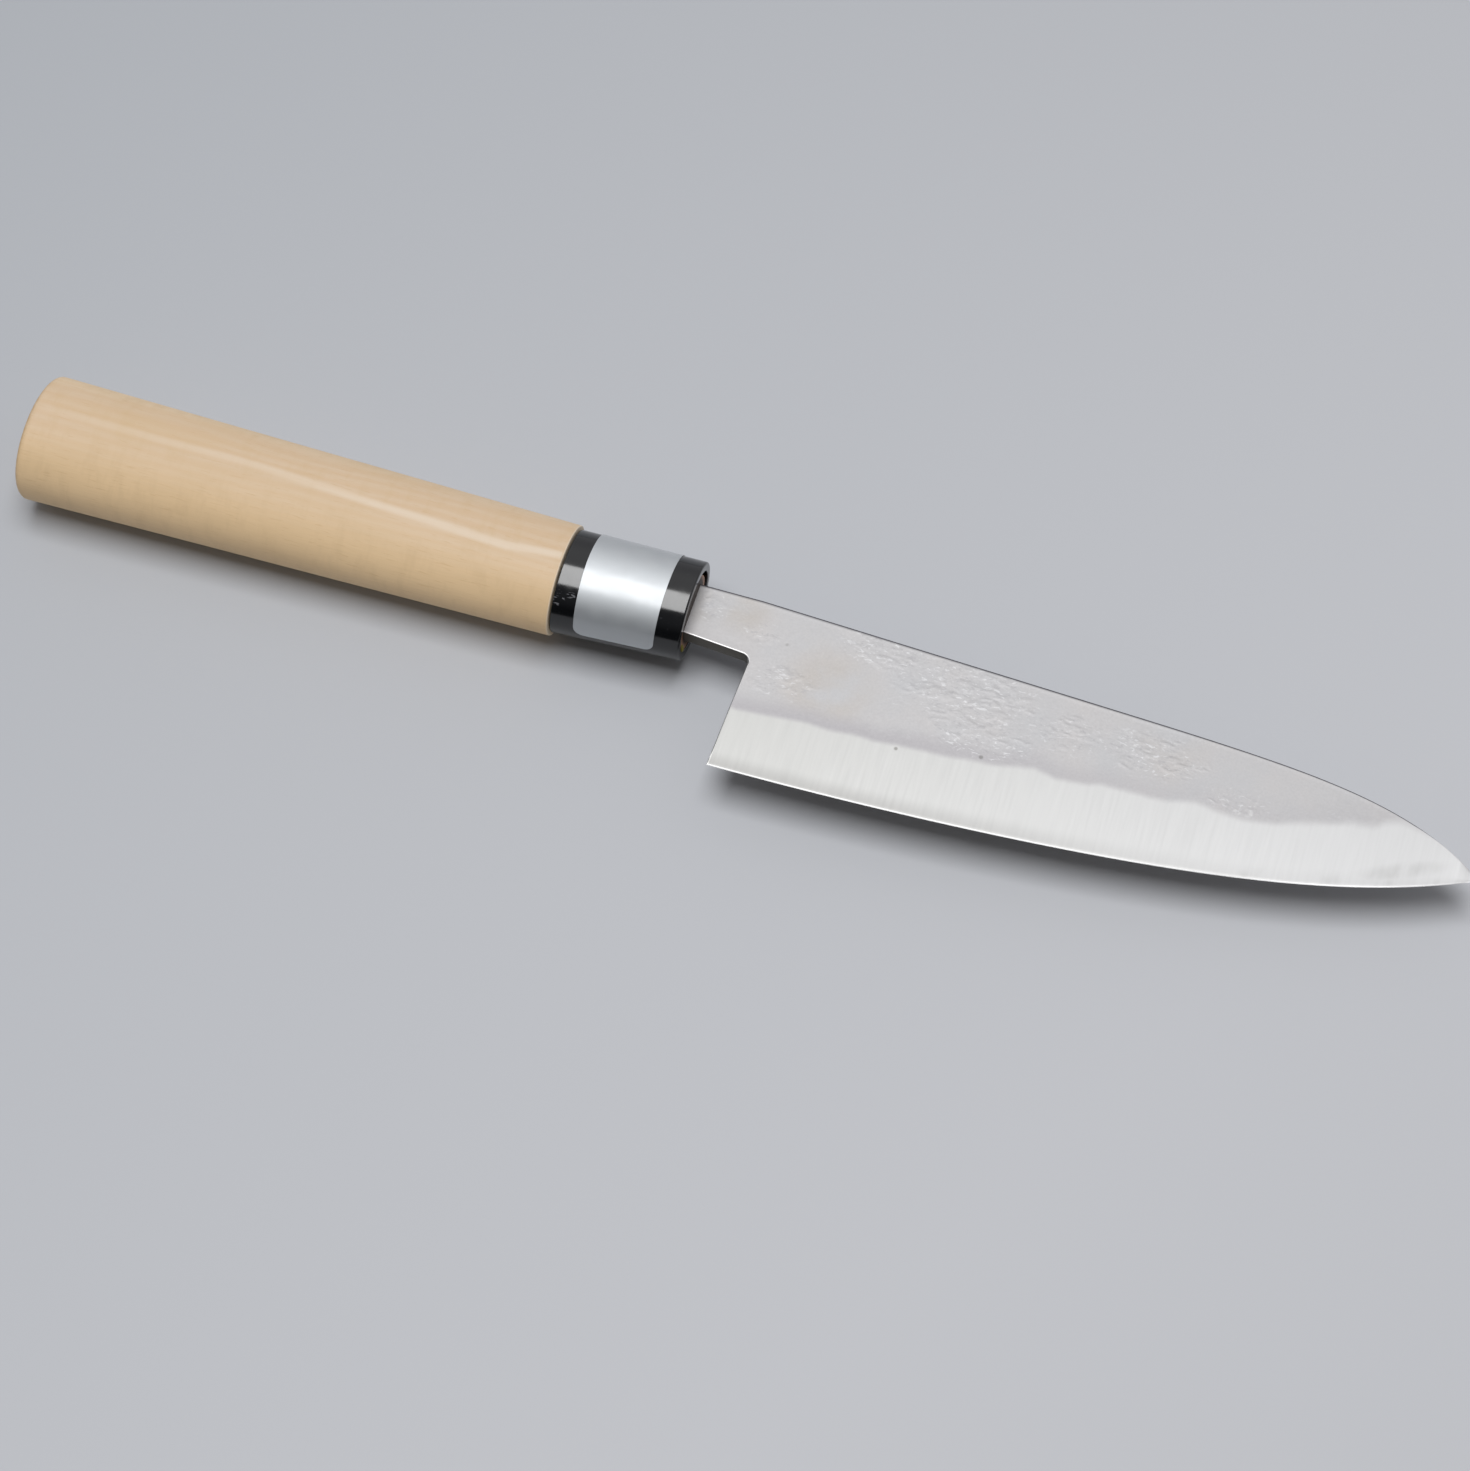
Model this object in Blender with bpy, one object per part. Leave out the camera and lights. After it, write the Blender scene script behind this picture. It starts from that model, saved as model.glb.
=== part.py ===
"""Petty knife: a forged blade whose tang is bedded in an oval wooden grip behind a black ferrule.

Lengths are in metres. Every piece is drawn on the knife's own datum: X runs from the butt to the tip with
zero at the ferrule's front face, Y runs from the cutting edge to the spine with zero on the axis of the
grip, and Z goes through the thickness of the blade. The knife then lies on its left side on a bench, with
the origin on the bench below the middle of its outline.
"""
import math

import bmesh
import bpy

# Grip and ferrule
HANDLE_LENGTH = 0.126
FERRULE_LENGTH = 0.0239
BUTT_HEIGHT = 0.0245
BUTT_THICKNESS = 0.0204
SHOULDER_HEIGHT = 0.0215
SHOULDER_THICKNESS = 0.0176
SHOULDER_DROP = 0.0007
SHOULDER_ROUND = 0.0004
BUTT_ROUND_DEPTH = 0.0014
BUTT_ROUND_RIM = 0.002
FERRULE_STEP = 0.0007
FRONT_HEIGHT = 0.0191
FRONT_THICKNESS = 0.0156
FERRULE_WALL = 0.0016
FERRULE_ROUND = 0.00035
TENON_RECESS = 0.0004
OVAL_POINTS = 64
ROUND_STEPS = 6

# Foil label round the right side of the ferrule
LABEL_WIDTH = 0.0151
LABEL_FROM_FRONT = 0.0046
LABEL_WRAP = 0.0284
LABEL_CORNER = 0.0016
LABEL_FOIL = 0.00015
LABEL_GAP = 0.0001
LABEL_COLUMNS = 6
LABEL_ROWS = 28
ARC_STEPS = 200

# Blade outline
TIP_REACH = 0.1442
HEEL_REACH = 0.0114
SPINE_HEIGHT = 0.005
SPINE_FALL = 0.0054
SPINE_DROP_POWER = 9.2
HEEL_DEPTH = 0.029
EDGE_BELLY = 0.0104
EDGE_TIP_RISE = 0.0072
EDGE_TIP_POWER = 6
NECK_DEPTH = 0.0055
NECK_SLOPE = 0.085
CHOIL_LEAN = 0.05
CHOIL_FILLET = 0.0017
BLADE_STATIONS = 56
TIP_CROWDING = 1.35

# Blade thickness and grind
NECK_THICKNESS = 0.0033
DISTAL_SLOPE = 0.0068
CHEEK_SLOPE = 0.02
TIP_SLOPE = 0.1
BEVEL_WIDTH = 0.0125
BEVEL_CROWN = 0.00003
RIDGE_WANDER = 0.0005
RIDGE_WAVE = 0.075
RIDGE_PHASE = 0.6
RIDGE_TOP_SHARE = 0.94
EDGE_BEVEL_WIDTH = 0.00045
EDGE_BEVEL_HALF = 0.00008
SPINE_ROUND = 0.0006
SPINE_STEPS = 3

# Largest share that each small feature may take where the blade thins to its tip
SPINE_ROUND_SHARE = 0.5
EDGE_WIDTH_SHARE = 0.1
EDGE_HALF_SHARE = 0.25
CROWN_SHARE = 0.1

# Tang, its bedding and the clearances between pieces
TANG_LENGTH = 0.075
TANG_TOP_SLOPE = 0.035
TANG_BOTTOM_SLOPE = 0.045
TANG_THICKNESS_SLOPE = 0.006
BEDDING_WALL = 0.0004
BEDDING_RECESS = 0.0003
SEAT_GAP = 0.0003
OVERCUT = 0.004


def clear_scene():
    for item in list(bpy.data.objects):
        bpy.data.objects.remove(item, do_unlink=True)


def make_material(name, colour, roughness, metallic=0.0):
    material = bpy.data.materials.new(name)
    material.use_nodes = True
    shader = material.node_tree.nodes["Principled BSDF"]
    shader.inputs["Base Color"].default_value = (*colour, 1.0)
    shader.inputs["Roughness"].default_value = roughness
    shader.inputs["Metallic"].default_value = metallic
    return material


def add_object(name, form, parent, material=None, sharp_angle=35.0):
    """Turn a bmesh into an object with outward normals, shaded smooth between its real edges."""
    bmesh.ops.recalc_face_normals(form, faces=form.faces[:])
    mesh = bpy.data.meshes.new(name)
    form.to_mesh(mesh)
    form.free()
    mesh.shade_smooth()
    mesh.set_sharp_from_angle(angle=math.radians(sharp_angle))
    if material is not None:
        mesh.materials.append(material)
    item = bpy.data.objects.new(name, mesh)
    bpy.context.scene.collection.objects.link(item)
    item.parent = parent
    return item


def cut_away(piece, cutter):
    """Remove the cutter's volume from the piece, and keep the cutter only as a guide."""
    boolean = piece.modifiers.new("cut_" + cutter.name, "BOOLEAN")
    boolean.operation = "DIFFERENCE"
    boolean.solver = "EXACT"
    boolean.object = cutter
    cutter.hide_render = True
    cutter.display_type = "WIRE"


def mix(a, b, t):
    return a + (b - a) * t


def quarter_round(steps):
    """Depth and inset shares of a rounded rim, from its flat face to its side."""
    angles = [0.5 * math.pi * i / steps for i in range(steps + 1)]
    return [(1.0 - math.cos(angle), 1.0 - math.sin(angle)) for angle in angles]


def skin(form, near, far):
    """Faces between two rings of equal point counts."""
    count = len(near)
    for i in range(count):
        j = (i + 1) % count
        form.faces.new((near[i], near[j], far[j], far[i]))


def loft(rings, point=None, loop=False):
    """Skin a row of rings into a closed form: capped, drawn to a point, or run round in a loop."""
    form = bmesh.new()
    rows = [[form.verts.new(place) for place in ring] for ring in rings]
    for near, far in zip(rows, rows[1:]):
        skin(form, near, far)
    if loop:
        skin(form, rows[-1], rows[0])
        return form
    form.faces.new(rows[0])
    if point is None:
        form.faces.new(rows[-1])
        return form
    end = form.verts.new(point)
    last = rows[-1]
    for i, vert in enumerate(last):
        form.faces.new((vert, last[(i + 1) % len(last)], end))
    return form


def oval(x, section):
    """One oval ring, square to the grip's length. A section is a centre, half height, half thickness."""
    centre, half_height, half_thickness = section
    points = []
    for i in range(OVAL_POINTS):
        angle = 2.0 * math.pi * i / OVAL_POINTS
        points.append((x, centre + half_height * math.sin(angle), half_thickness * math.cos(angle)))
    return points


def inset(section, amount):
    centre, half_height, half_thickness = section
    return centre, half_height - amount, half_thickness - amount


def grip_section(x):
    """The wooden grip at x. It slims and drops slightly from its butt to its shoulder."""
    t = (x + HANDLE_LENGTH) / (HANDLE_LENGTH - FERRULE_LENGTH)
    half_height = mix(BUTT_HEIGHT, SHOULDER_HEIGHT, t) / 2
    return -SHOULDER_DROP * t, half_height, mix(BUTT_THICKNESS, SHOULDER_THICKNESS, t) / 2


def ferrule_section(x):
    """The ferrule's outside at x. It is a step smaller than the grip's shoulder, and slims to its front."""
    t = -x / FERRULE_LENGTH
    half_height = mix(FRONT_HEIGHT / 2, SHOULDER_HEIGHT / 2 - FERRULE_STEP, t)
    half_thickness = mix(FRONT_THICKNESS / 2, SHOULDER_THICKNESS / 2 - FERRULE_STEP, t)
    return -SHOULDER_DROP * t, half_height, half_thickness


def spread(x):
    """How far x is along the cutting edge, from 0 at the heel to 1 at the tip."""
    return min(max((x - HEEL_REACH) / (TIP_REACH - HEEL_REACH), 0.0), 1.0)


def edge_line(x):
    """Height of the cutting edge: a long shallow belly that lifts quickly before the tip."""
    s = spread(x)
    return -HEEL_DEPTH + EDGE_BELLY * s ** 2 + EDGE_TIP_RISE * s ** EDGE_TIP_POWER


def spine_line(x):
    """Height of the spine, which falls gently and then drops to meet the edge at the tip."""
    s = spread(x)
    tip_drop = SPINE_HEIGHT - SPINE_FALL - edge_line(TIP_REACH)
    return SPINE_HEIGHT - SPINE_FALL * s - tip_drop * s ** SPINE_DROP_POWER


def top_line(x):
    """Height of the blade's upper outline: the tang's top behind the ferrule's front, then the spine."""
    return SPINE_HEIGHT + TANG_TOP_SLOPE * x if x < 0.0 else spine_line(x)


def underside_line(x):
    """Height of the tang's underside behind the ferrule's front, and of the neck's underside before it."""
    return -NECK_DEPTH - (TANG_BOTTOM_SLOPE if x < 0.0 else NECK_SLOPE) * x


def ridge_line(x):
    """Height of the ridge between flat cheek and bevel. It wanders a little, because it is ground by hand."""
    wander = RIDGE_WANDER * math.sin(2.0 * math.pi * (x / RIDGE_WAVE - RIDGE_PHASE))
    return edge_line(x) + min(BEVEL_WIDTH + wander, RIDGE_TOP_SHARE * (top_line(x) - edge_line(x)))


def cheek_half(x, y):
    """Half thickness of the flat cheeks, which close towards the tip, the tang's end and the edge."""
    taper = TANG_THICKNESS_SLOPE * -x if x < 0.0 else DISTAL_SLOPE * x
    return NECK_THICKNESS / 2 - taper - CHEEK_SLOPE * (SPINE_HEIGHT - y)


def blade_section(x):
    """Outline across the blade at x: rounded spine, flat cheeks, crowned bevels and the fine edge bevel."""
    top = top_line(x)
    bottom = edge_line(x)
    ridge = ridge_line(x)
    half_top = min(cheek_half(x, top), TIP_SLOPE * (top - bottom))
    half_ridge = min(cheek_half(x, ridge), TIP_SLOPE * (ridge - bottom))
    spine_round = min(SPINE_ROUND, SPINE_ROUND_SHARE * half_top)
    shoulder_half = mix(half_top, half_ridge, spine_round / (top - ridge))
    fine = min(EDGE_BEVEL_WIDTH, EDGE_WIDTH_SHARE * (top - bottom))
    fine_half = min(EDGE_BEVEL_HALF, EDGE_HALF_SHARE * half_ridge)
    crown = min(BEVEL_CROWN, CROWN_SHARE * half_ridge)
    right = []
    for depth, share in quarter_round(SPINE_STEPS):
        right.append((top - spine_round * depth, shoulder_half - spine_round * share))
    right += [
        (ridge, half_ridge),
        (mix(ridge, bottom + fine, 0.5), mix(half_ridge, fine_half, 0.5) + crown),
        (bottom + fine, fine_half),
    ]
    left = [(y, -z) for y, z in reversed(right)]
    return [(x, y, z) for y, z in right + [(bottom, 0.0)] + left]


def make_blank():
    """The forged and ground blank, still at its full depth behind the heel. Its sections crowd to the tip."""
    stations = [-TANG_LENGTH, -0.5 * TANG_LENGTH, 0.0, 0.5 * HEEL_REACH]
    for i in range(BLADE_STATIONS):
        stations.append(mix(HEEL_REACH, TIP_REACH, 1.0 - (1.0 - i / BLADE_STATIONS) ** TIP_CROWDING))
    tip = (TIP_REACH, edge_line(TIP_REACH), 0.0)
    return loft([blade_section(x) for x in stations], point=tip)


def rounded_corner(corner, before, after, radius):
    """Points of a round that joins two straight lines, from the one that comes before the corner."""
    ways = []
    for end in (before, after):
        length = math.dist(corner, end)
        ways.append(((end[0] - corner[0]) / length, (end[1] - corner[1]) / length))
    middle = (ways[0][0] + ways[1][0], ways[0][1] + ways[1][1])
    half_angle = math.acos(0.5 * math.hypot(*middle))
    reach = radius / math.sin(half_angle) / math.hypot(*middle)
    centre = (corner[0] + middle[0] * reach, corner[1] + middle[1] * reach)
    setback = radius / math.tan(half_angle)
    turns = []
    for way in ways:
        turns.append(math.atan2(corner[1] + way[1] * setback - centre[1],
                                corner[0] + way[0] * setback - centre[0]))
    swing = math.remainder(turns[1] - turns[0], 2.0 * math.pi)
    angles = [turns[0] + swing * i / ROUND_STEPS for i in range(ROUND_STEPS + 1)]
    return [(centre[0] + radius * math.cos(a), centre[1] + radius * math.sin(a)) for a in angles]


def make_waste():
    """The metal cut from below neck and tang, as far as the heel's back edge and its rounded corner."""
    floor_y = -HEEL_DEPTH - OVERCUT
    back_x = -TANG_LENGTH - OVERCUT
    heel_foot = (HEEL_REACH - CHOIL_LEAN * OVERCUT, floor_y)
    corner_x = HEEL_REACH + CHOIL_LEAN * (HEEL_DEPTH - NECK_DEPTH)
    corner = (corner_x, underside_line(corner_x))
    neck_start = (0.0, underside_line(0.0))
    outline = [heel_foot]
    outline += rounded_corner(corner, heel_foot, neck_start, CHOIL_FILLET)
    outline += [neck_start, (back_x, underside_line(back_x)), (back_x, floor_y)]
    return loft([[(x, y, z) for x, y in outline] for z in (-NECK_THICKNESS, NECK_THICKNESS)])


def tang_block(clearance, front_x):
    """A tapered block round the tang, clear of it on all sides, from front_x to past the tang's end."""
    rings = []
    for x in (front_x, -TANG_LENGTH - clearance):
        top = SPINE_HEIGHT + TANG_TOP_SLOPE * x + clearance
        bottom = -NECK_DEPTH - TANG_BOTTOM_SLOPE * x - clearance
        half_top = NECK_THICKNESS / 2 + TANG_THICKNESS_SLOPE * x + clearance
        half_bottom = half_top - CHEEK_SLOPE * (top - bottom)
        rings.append([(x, top, -half_top), (x, top, half_top), (x, bottom, half_bottom),
                      (x, bottom, -half_bottom)])
    return loft(rings)


def make_grip():
    """The wooden grip: crowned butt, straight taper, eased shoulder, and the tenon that fills the ferrule."""
    rings = []
    for depth, share in quarter_round(ROUND_STEPS):
        x = -HANDLE_LENGTH + BUTT_ROUND_DEPTH * depth
        rings.append(oval(x, inset(grip_section(x), BUTT_ROUND_RIM * share)))
    for depth, share in reversed(quarter_round(ROUND_STEPS // 2)):
        x = -FERRULE_LENGTH - SHOULDER_ROUND * depth
        rings.append(oval(x, inset(grip_section(x), SHOULDER_ROUND * share)))
    for x in (-FERRULE_LENGTH, -TENON_RECESS):
        rings.append(oval(x, inset(ferrule_section(x), FERRULE_WALL + SEAT_GAP)))
    return loft(rings)


def make_ferrule():
    """The oval sleeve over the tenon, with an eased front rim and a bore that follows its outside."""
    rear_x = -FERRULE_LENGTH + SEAT_GAP
    rings = [oval(rear_x, ferrule_section(rear_x))]
    for depth, share in reversed(quarter_round(ROUND_STEPS // 2)):
        x = -FERRULE_ROUND * depth
        rings.append(oval(x, inset(ferrule_section(x), FERRULE_ROUND * share)))
    for x in (0.0, rear_x):
        rings.append(oval(x, inset(ferrule_section(x), FERRULE_WALL)))
    return loft(rings, loop=True)


def angle_round_oval(distance, section):
    """Angle from +Z towards +Y that lies a given distance round an oval's outline."""
    half_height, half_thickness = section[1:]
    angle = 0.0
    for _ in range(ARC_STEPS):
        rate = math.hypot(half_height * math.cos(angle), half_thickness * math.sin(angle))
        angle += distance / ARC_STEPS / rate
    return angle


def label_rows():
    """Rows across the label, from its lower end to its upper end, with the rounded corners' insets."""
    corner = quarter_round(ROUND_STEPS)
    half = LABEL_WRAP / 2
    lower = [(-half + LABEL_CORNER * depth, LABEL_CORNER * share) for depth, share in corner]
    upper = [(-distance, share) for distance, share in reversed(lower)]
    straight = half - LABEL_CORNER
    middle = [(mix(-straight, straight, i / LABEL_ROWS), 0.0) for i in range(1, LABEL_ROWS)]
    return lower + middle + upper


def label_layer(form, lift):
    """One face of the foil as a grid of points, a lift away from the ferrule's outside."""
    middle = ferrule_section(-LABEL_FROM_FRONT - LABEL_WIDTH / 2)
    rows = []
    for distance, corner_inset in label_rows():
        angle = angle_round_oval(distance, middle)
        row = []
        for i in range(LABEL_COLUMNS + 1):
            rear_x = -LABEL_FROM_FRONT - LABEL_WIDTH + corner_inset
            x = mix(rear_x, -LABEL_FROM_FRONT - corner_inset, i / LABEL_COLUMNS)
            centre, half_height, half_thickness = ferrule_section(x)
            out_y = half_thickness * math.sin(angle)
            out_z = half_height * math.cos(angle)
            length = math.hypot(out_y, out_z)
            y = centre + half_height * math.sin(angle) + lift * out_y / length
            z = half_thickness * math.cos(angle) + lift * out_z / length
            row.append(form.verts.new((x, y, z)))
        rows.append(row)
    return rows


def make_label():
    """The foil: two layers of one grid, joined all round their border."""
    form = bmesh.new()
    layers = [label_layer(form, LABEL_GAP), label_layer(form, LABEL_GAP + LABEL_FOIL)]
    for rows in layers:
        for near, far in zip(rows, rows[1:]):
            for i in range(LABEL_COLUMNS):
                form.faces.new((near[i], near[i + 1], far[i + 1], far[i]))
    borders = []
    for rows in layers:
        right = [row[-1] for row in rows[1:-1]]
        left = [row[0] for row in reversed(rows[1:-1])]
        borders.append(rows[0] + right + rows[-1][::-1] + left)
    skin(form, borders[0], borders[1])
    return form


def place_knife():
    """An empty that carries the whole knife, so that it lies centred on the origin."""
    knife = bpy.data.objects.new("knife", None)
    bpy.context.scene.collection.objects.link(knife)
    centre, half_height, half_thickness = grip_section(-HANDLE_LENGTH + BUTT_ROUND_DEPTH)
    middle_x = (TIP_REACH - HANDLE_LENGTH) / 2
    middle_y = (centre + half_height - HEEL_DEPTH) / 2
    knife.location = (-middle_x, -middle_y, half_thickness)
    return knife


def build():
    clear_scene()
    knife = place_knife()
    steel = make_material("forged_steel", (0.55, 0.54, 0.53), 0.38, 1.0)
    wood = make_material("magnolia_wood", (0.66, 0.50, 0.31), 0.55)
    plastic = make_material("black_plastic", (0.012, 0.012, 0.014), 0.18)
    foil = make_material("silver_foil", (0.62, 0.63, 0.65), 0.3, 1.0)
    resin = make_material("bedding_resin", (0.30, 0.28, 0.09), 0.35)

    blade = add_object("blade", make_blank(), knife, steel)
    cut_away(blade, add_object("waste_below_neck", make_waste(), knife))

    handle = add_object("handle", make_grip(), knife, wood)
    hole_clearance = SEAT_GAP + BEDDING_WALL + SEAT_GAP
    cut_away(handle, add_object("tang_hole", tang_block(hole_clearance, OVERCUT), knife))

    bedding_front = -TENON_RECESS - BEDDING_RECESS
    bedding_form = tang_block(SEAT_GAP + BEDDING_WALL, bedding_front)
    bedding = add_object("tang_bedding", bedding_form, knife, resin)
    cut_away(bedding, add_object("tang_space", tang_block(SEAT_GAP, OVERCUT), knife))

    add_object("ferrule", make_ferrule(), knife, plastic)
    add_object("label", make_label(), knife, foil)


build()
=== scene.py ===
# %% [markdown]
# # A petty knife
#
# This notebook dresses a imported CAD model of a small kitchen knife. The CAD model says how big each
# piece is and where it sits. Each lesson below makes one piece again with a finer shape and a finish
# that looks like the real material: forged steel, pale wood, black plastic, foil and resin.
#
# We start by loading the imported model, whose boxes give the size and place of each piece.

# %% Load the imported model
import math

import bmesh
import bpy
import numpy as np
from mathutils import Matrix, Vector


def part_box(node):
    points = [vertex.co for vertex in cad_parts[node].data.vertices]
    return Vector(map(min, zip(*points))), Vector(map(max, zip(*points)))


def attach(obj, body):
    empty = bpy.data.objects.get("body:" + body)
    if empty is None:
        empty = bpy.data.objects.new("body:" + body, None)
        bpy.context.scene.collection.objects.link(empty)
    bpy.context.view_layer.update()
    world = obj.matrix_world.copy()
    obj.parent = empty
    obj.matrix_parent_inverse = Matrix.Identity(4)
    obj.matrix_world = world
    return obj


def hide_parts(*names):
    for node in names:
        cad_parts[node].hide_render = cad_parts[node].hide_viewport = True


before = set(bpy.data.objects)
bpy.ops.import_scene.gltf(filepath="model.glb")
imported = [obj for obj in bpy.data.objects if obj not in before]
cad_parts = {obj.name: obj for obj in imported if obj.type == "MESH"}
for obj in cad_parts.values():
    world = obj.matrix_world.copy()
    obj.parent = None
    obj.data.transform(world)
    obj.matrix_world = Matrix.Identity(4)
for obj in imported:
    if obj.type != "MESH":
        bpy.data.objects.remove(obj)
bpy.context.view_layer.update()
MM = 0.001

# %% [markdown]
# ## Where the knife lies
#
# The knife is drawn on its own datum. X runs from butt to tip with zero at the front of the black
# ferrule, Y runs from the cutting edge to the spine with zero on the grip's axis, and Z goes through the
# blade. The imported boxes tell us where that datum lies, so nothing has to be fitted by eye.

# %% Find the datum
HEEL_DEPTH = 29.0 * MM
blade_low, blade_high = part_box("blade")
datum = Vector((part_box("ferrule")[1].x, blade_low.y + HEEL_DEPTH, (blade_low.z + blade_high.z) / 2))
print("datum in mm:", [round(value / MM, 3) for value in datum])

# %% [markdown]
# ## Camera
#
# The photograph looks down on a bench at a steep angle with a short telephoto lens. A long lens keeps the
# blade's straight lines straight. The camera could be turned by three angles, but it is easier to say
# which point near the ferrule it looks at.

# %% Aim the camera
camera_data = bpy.data.cameras.new("bench_camera")
camera_data.lens = 85.0
camera_data.sensor_width = 36.0
camera_data.sensor_fit = "HORIZONTAL"
camera = bpy.data.objects.new("bench_camera", camera_data)
bpy.context.scene.collection.objects.link(camera)
camera.location = (0.09285, -0.29439, 0.54078)
aim = Vector((0.00366, -0.00821, 0.0))
camera.rotation_euler = (aim - camera.location).to_track_quat("-Z", "Y").to_euler()
bpy.context.scene.camera = camera
bpy.context.scene.view_settings.view_transform = "Standard"
print("camera stands", round((aim - camera.location).length, 3), "m from what it looks at")

# %% [markdown]
# ## Colours and nodes
#
# Every colour in this notebook is written as a hex value, the way a paint program shows it. Blender
# calculates with linear light, so one function converts them. A second function gives a node its inputs,
# and a third adds a node to a tree with its options. They serve materials and geometry trees alike.
#
# Inputs are given in their order or by name. A Map Range node takes a value, the two ends that it comes
# from, and the two that it goes to. A Mix node takes how much, the first colour and the second. Patterns
# have a scale in waves per metre, so more functions work it out from the real size of a pattern's marks,
# stretch a noise to sizes along X, Y and Z, and make one that looks different with each seed.

# %% Convert colours and add nodes
def linear(hex_colour):
    """A hex colour such as #C8A468 as the linear red, green, blue and alpha that Blender wants."""
    shades = [int(hex_colour[i:i + 2], 16) / 255 for i in (1, 3, 5)]
    return (*[c / 12.92 if c <= 0.04045 else ((c + 0.055) / 1.055) ** 2.4 for c in shades], 1.0)


def feed(node, inputs):
    """Give a node its inputs: each is a value, a hex colour, a socket, or a node's first output."""
    in_use = [socket for socket in node.inputs if socket.enabled]
    for key, value in inputs.items() if isinstance(inputs, dict) else enumerate(inputs):
        socket = next(s for number, s in enumerate(in_use) if key in (number, s.name))
        if isinstance(value, bpy.types.Node):
            value = next(output for output in value.outputs if output.enabled)
        if isinstance(value, bpy.types.NodeSocket):
            node.id_data.links.new(value, socket)
        else:
            socket.default_value = linear(value) if str(value).startswith("#") else value


def add_node(tree, kind, inputs=(), **settings):
    """Add a node, set its options and feed it. A kind in capitals is an operation of a Math node."""
    if kind.isupper():
        kind, settings = "Math", {"operation": kind, **settings}
    node = tree.nodes.new(kind if kind.startswith(("Geometry", "NodeGroup")) else "ShaderNode" + kind)
    for name, value in settings.items():
        setattr(node, name, value)
    feed(node, inputs)
    return node


COLOURS = {"data_type": "RGBA"}
SMOOTH = {"interpolation_type": "SMOOTHSTEP"}
print("pale wood in linear light:", [round(c, 3) for c in linear("#DBC7B2")[:3]])

# %% Size a pattern by its marks
def waves(*sizes):
    """The scale of a pattern whose waves have this size in mm, or three scales for sizes along X, Y and Z."""
    scales = [float(f"{1 / (size * MM):.2g}") for size in sizes]
    return scales[0] if len(scales) == 1 else scales


def stretched_noise(tree, place, sizes, **inputs):
    """A noise whose marks have these sizes in mm along X, Y and Z."""
    stretched = add_node(tree, "Mapping", {"Vector": place, "Scale": waves(*sizes)})
    return add_node(tree, "TexNoise", {"Vector": stretched, "Scale": 1.0, **inputs})


def seeded_noise(tree, place, seed, scale, **inputs):
    """A noise with a fourth coordinate, so that another seed gives other marks."""
    return add_node(tree, "TexNoise", {"Vector": place, "W": seed, "Scale": scale, **inputs},
                    noise_dimensions="4D")


print("waves of 0.3 mm need a scale of", waves(0.3))

# %% [markdown]
# ## Bench and light
#
# The knife lies on a sheet of smooth grey card. One large soft lamp hangs above it, which gives the
# broad highlight on the grip, the crisp band on the ferrule and the soft shadow under the raised blade.
# The card's colour carries a faint painted shade, darker towards one corner, as light falls off over it. A
# picture of a studio could give the light too, but a lamp and a plain room can be set one by one.

# %% Lay the grey card
def new_material(name, plain):
    """A material whose shader has its plain values, with its tree and the place of each point on it."""
    material = bpy.data.materials.new(name)
    material.use_nodes = True
    tree = material.node_tree
    shader = tree.nodes["Principled BSDF"]
    feed(shader, plain)
    return material, tree, shader, add_node(tree, "TexCoord").outputs["Object"]


CARD_HALF = 3.0
card_finish, tree, shader, place = new_material("matt_grey_card", {
    "Roughness": 0.9, "Specular IOR Level": 0.1})
turned = add_node(tree, "Mapping", {"Vector": place, "Rotation": (0, 0, 0.48)})
# Painted shade: the card's colour darkens towards one corner.
across = add_node(tree, "MapRange", (add_node(tree, "SeparateXYZ", [turned]).outputs["X"], -0.25, 0.1))
feed(shader, {"Base Color": add_node(tree, "Mix", (across, "#ACB0B6", "#C2C4C9"), **COLOURS)})

card_mesh = bpy.data.meshes.new("grey_card")
corners = [(x * CARD_HALF, y * CARD_HALF, 0) for x, y in ((-1, -1), (1, -1), (1, 1), (-1, 1))]
card_mesh.from_pydata(corners, [], [(0, 1, 2, 3)])
card_mesh.materials.append(card_finish)
card = bpy.data.objects.new("grey_card", card_mesh)
bpy.context.scene.collection.objects.link(card)
print("card is", 2 * CARD_HALF, "m wide")

# %% Hang the soft lamp
LAMP_HEIGHT = 1.2
lamp_data = bpy.data.lights.new("soft_lamp", "AREA")
lamp_data.shape = "RECTANGLE"
lamp_data.size = 0.68
lamp_data.size_y = 0.78
lamp_data.energy = 12.0
lamp = bpy.data.objects.new("soft_lamp", lamp_data)
bpy.context.scene.collection.objects.link(lamp)
lamp.location = (-0.08, -0.03, LAMP_HEIGHT)
lamp.visible_camera = False
print("lamp gives", lamp_data.energy, "W from", LAMP_HEIGHT, "m")

# %% [markdown]
# The room round the bench is dim. Its near side is a little warm, and lightest low down. Glossy pieces
# mirror a room of their own, which is dark and then dim overhead on the near side and pale on the far
# side, so the world answers camera rays, glossy rays and all others with their own tones.

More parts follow.
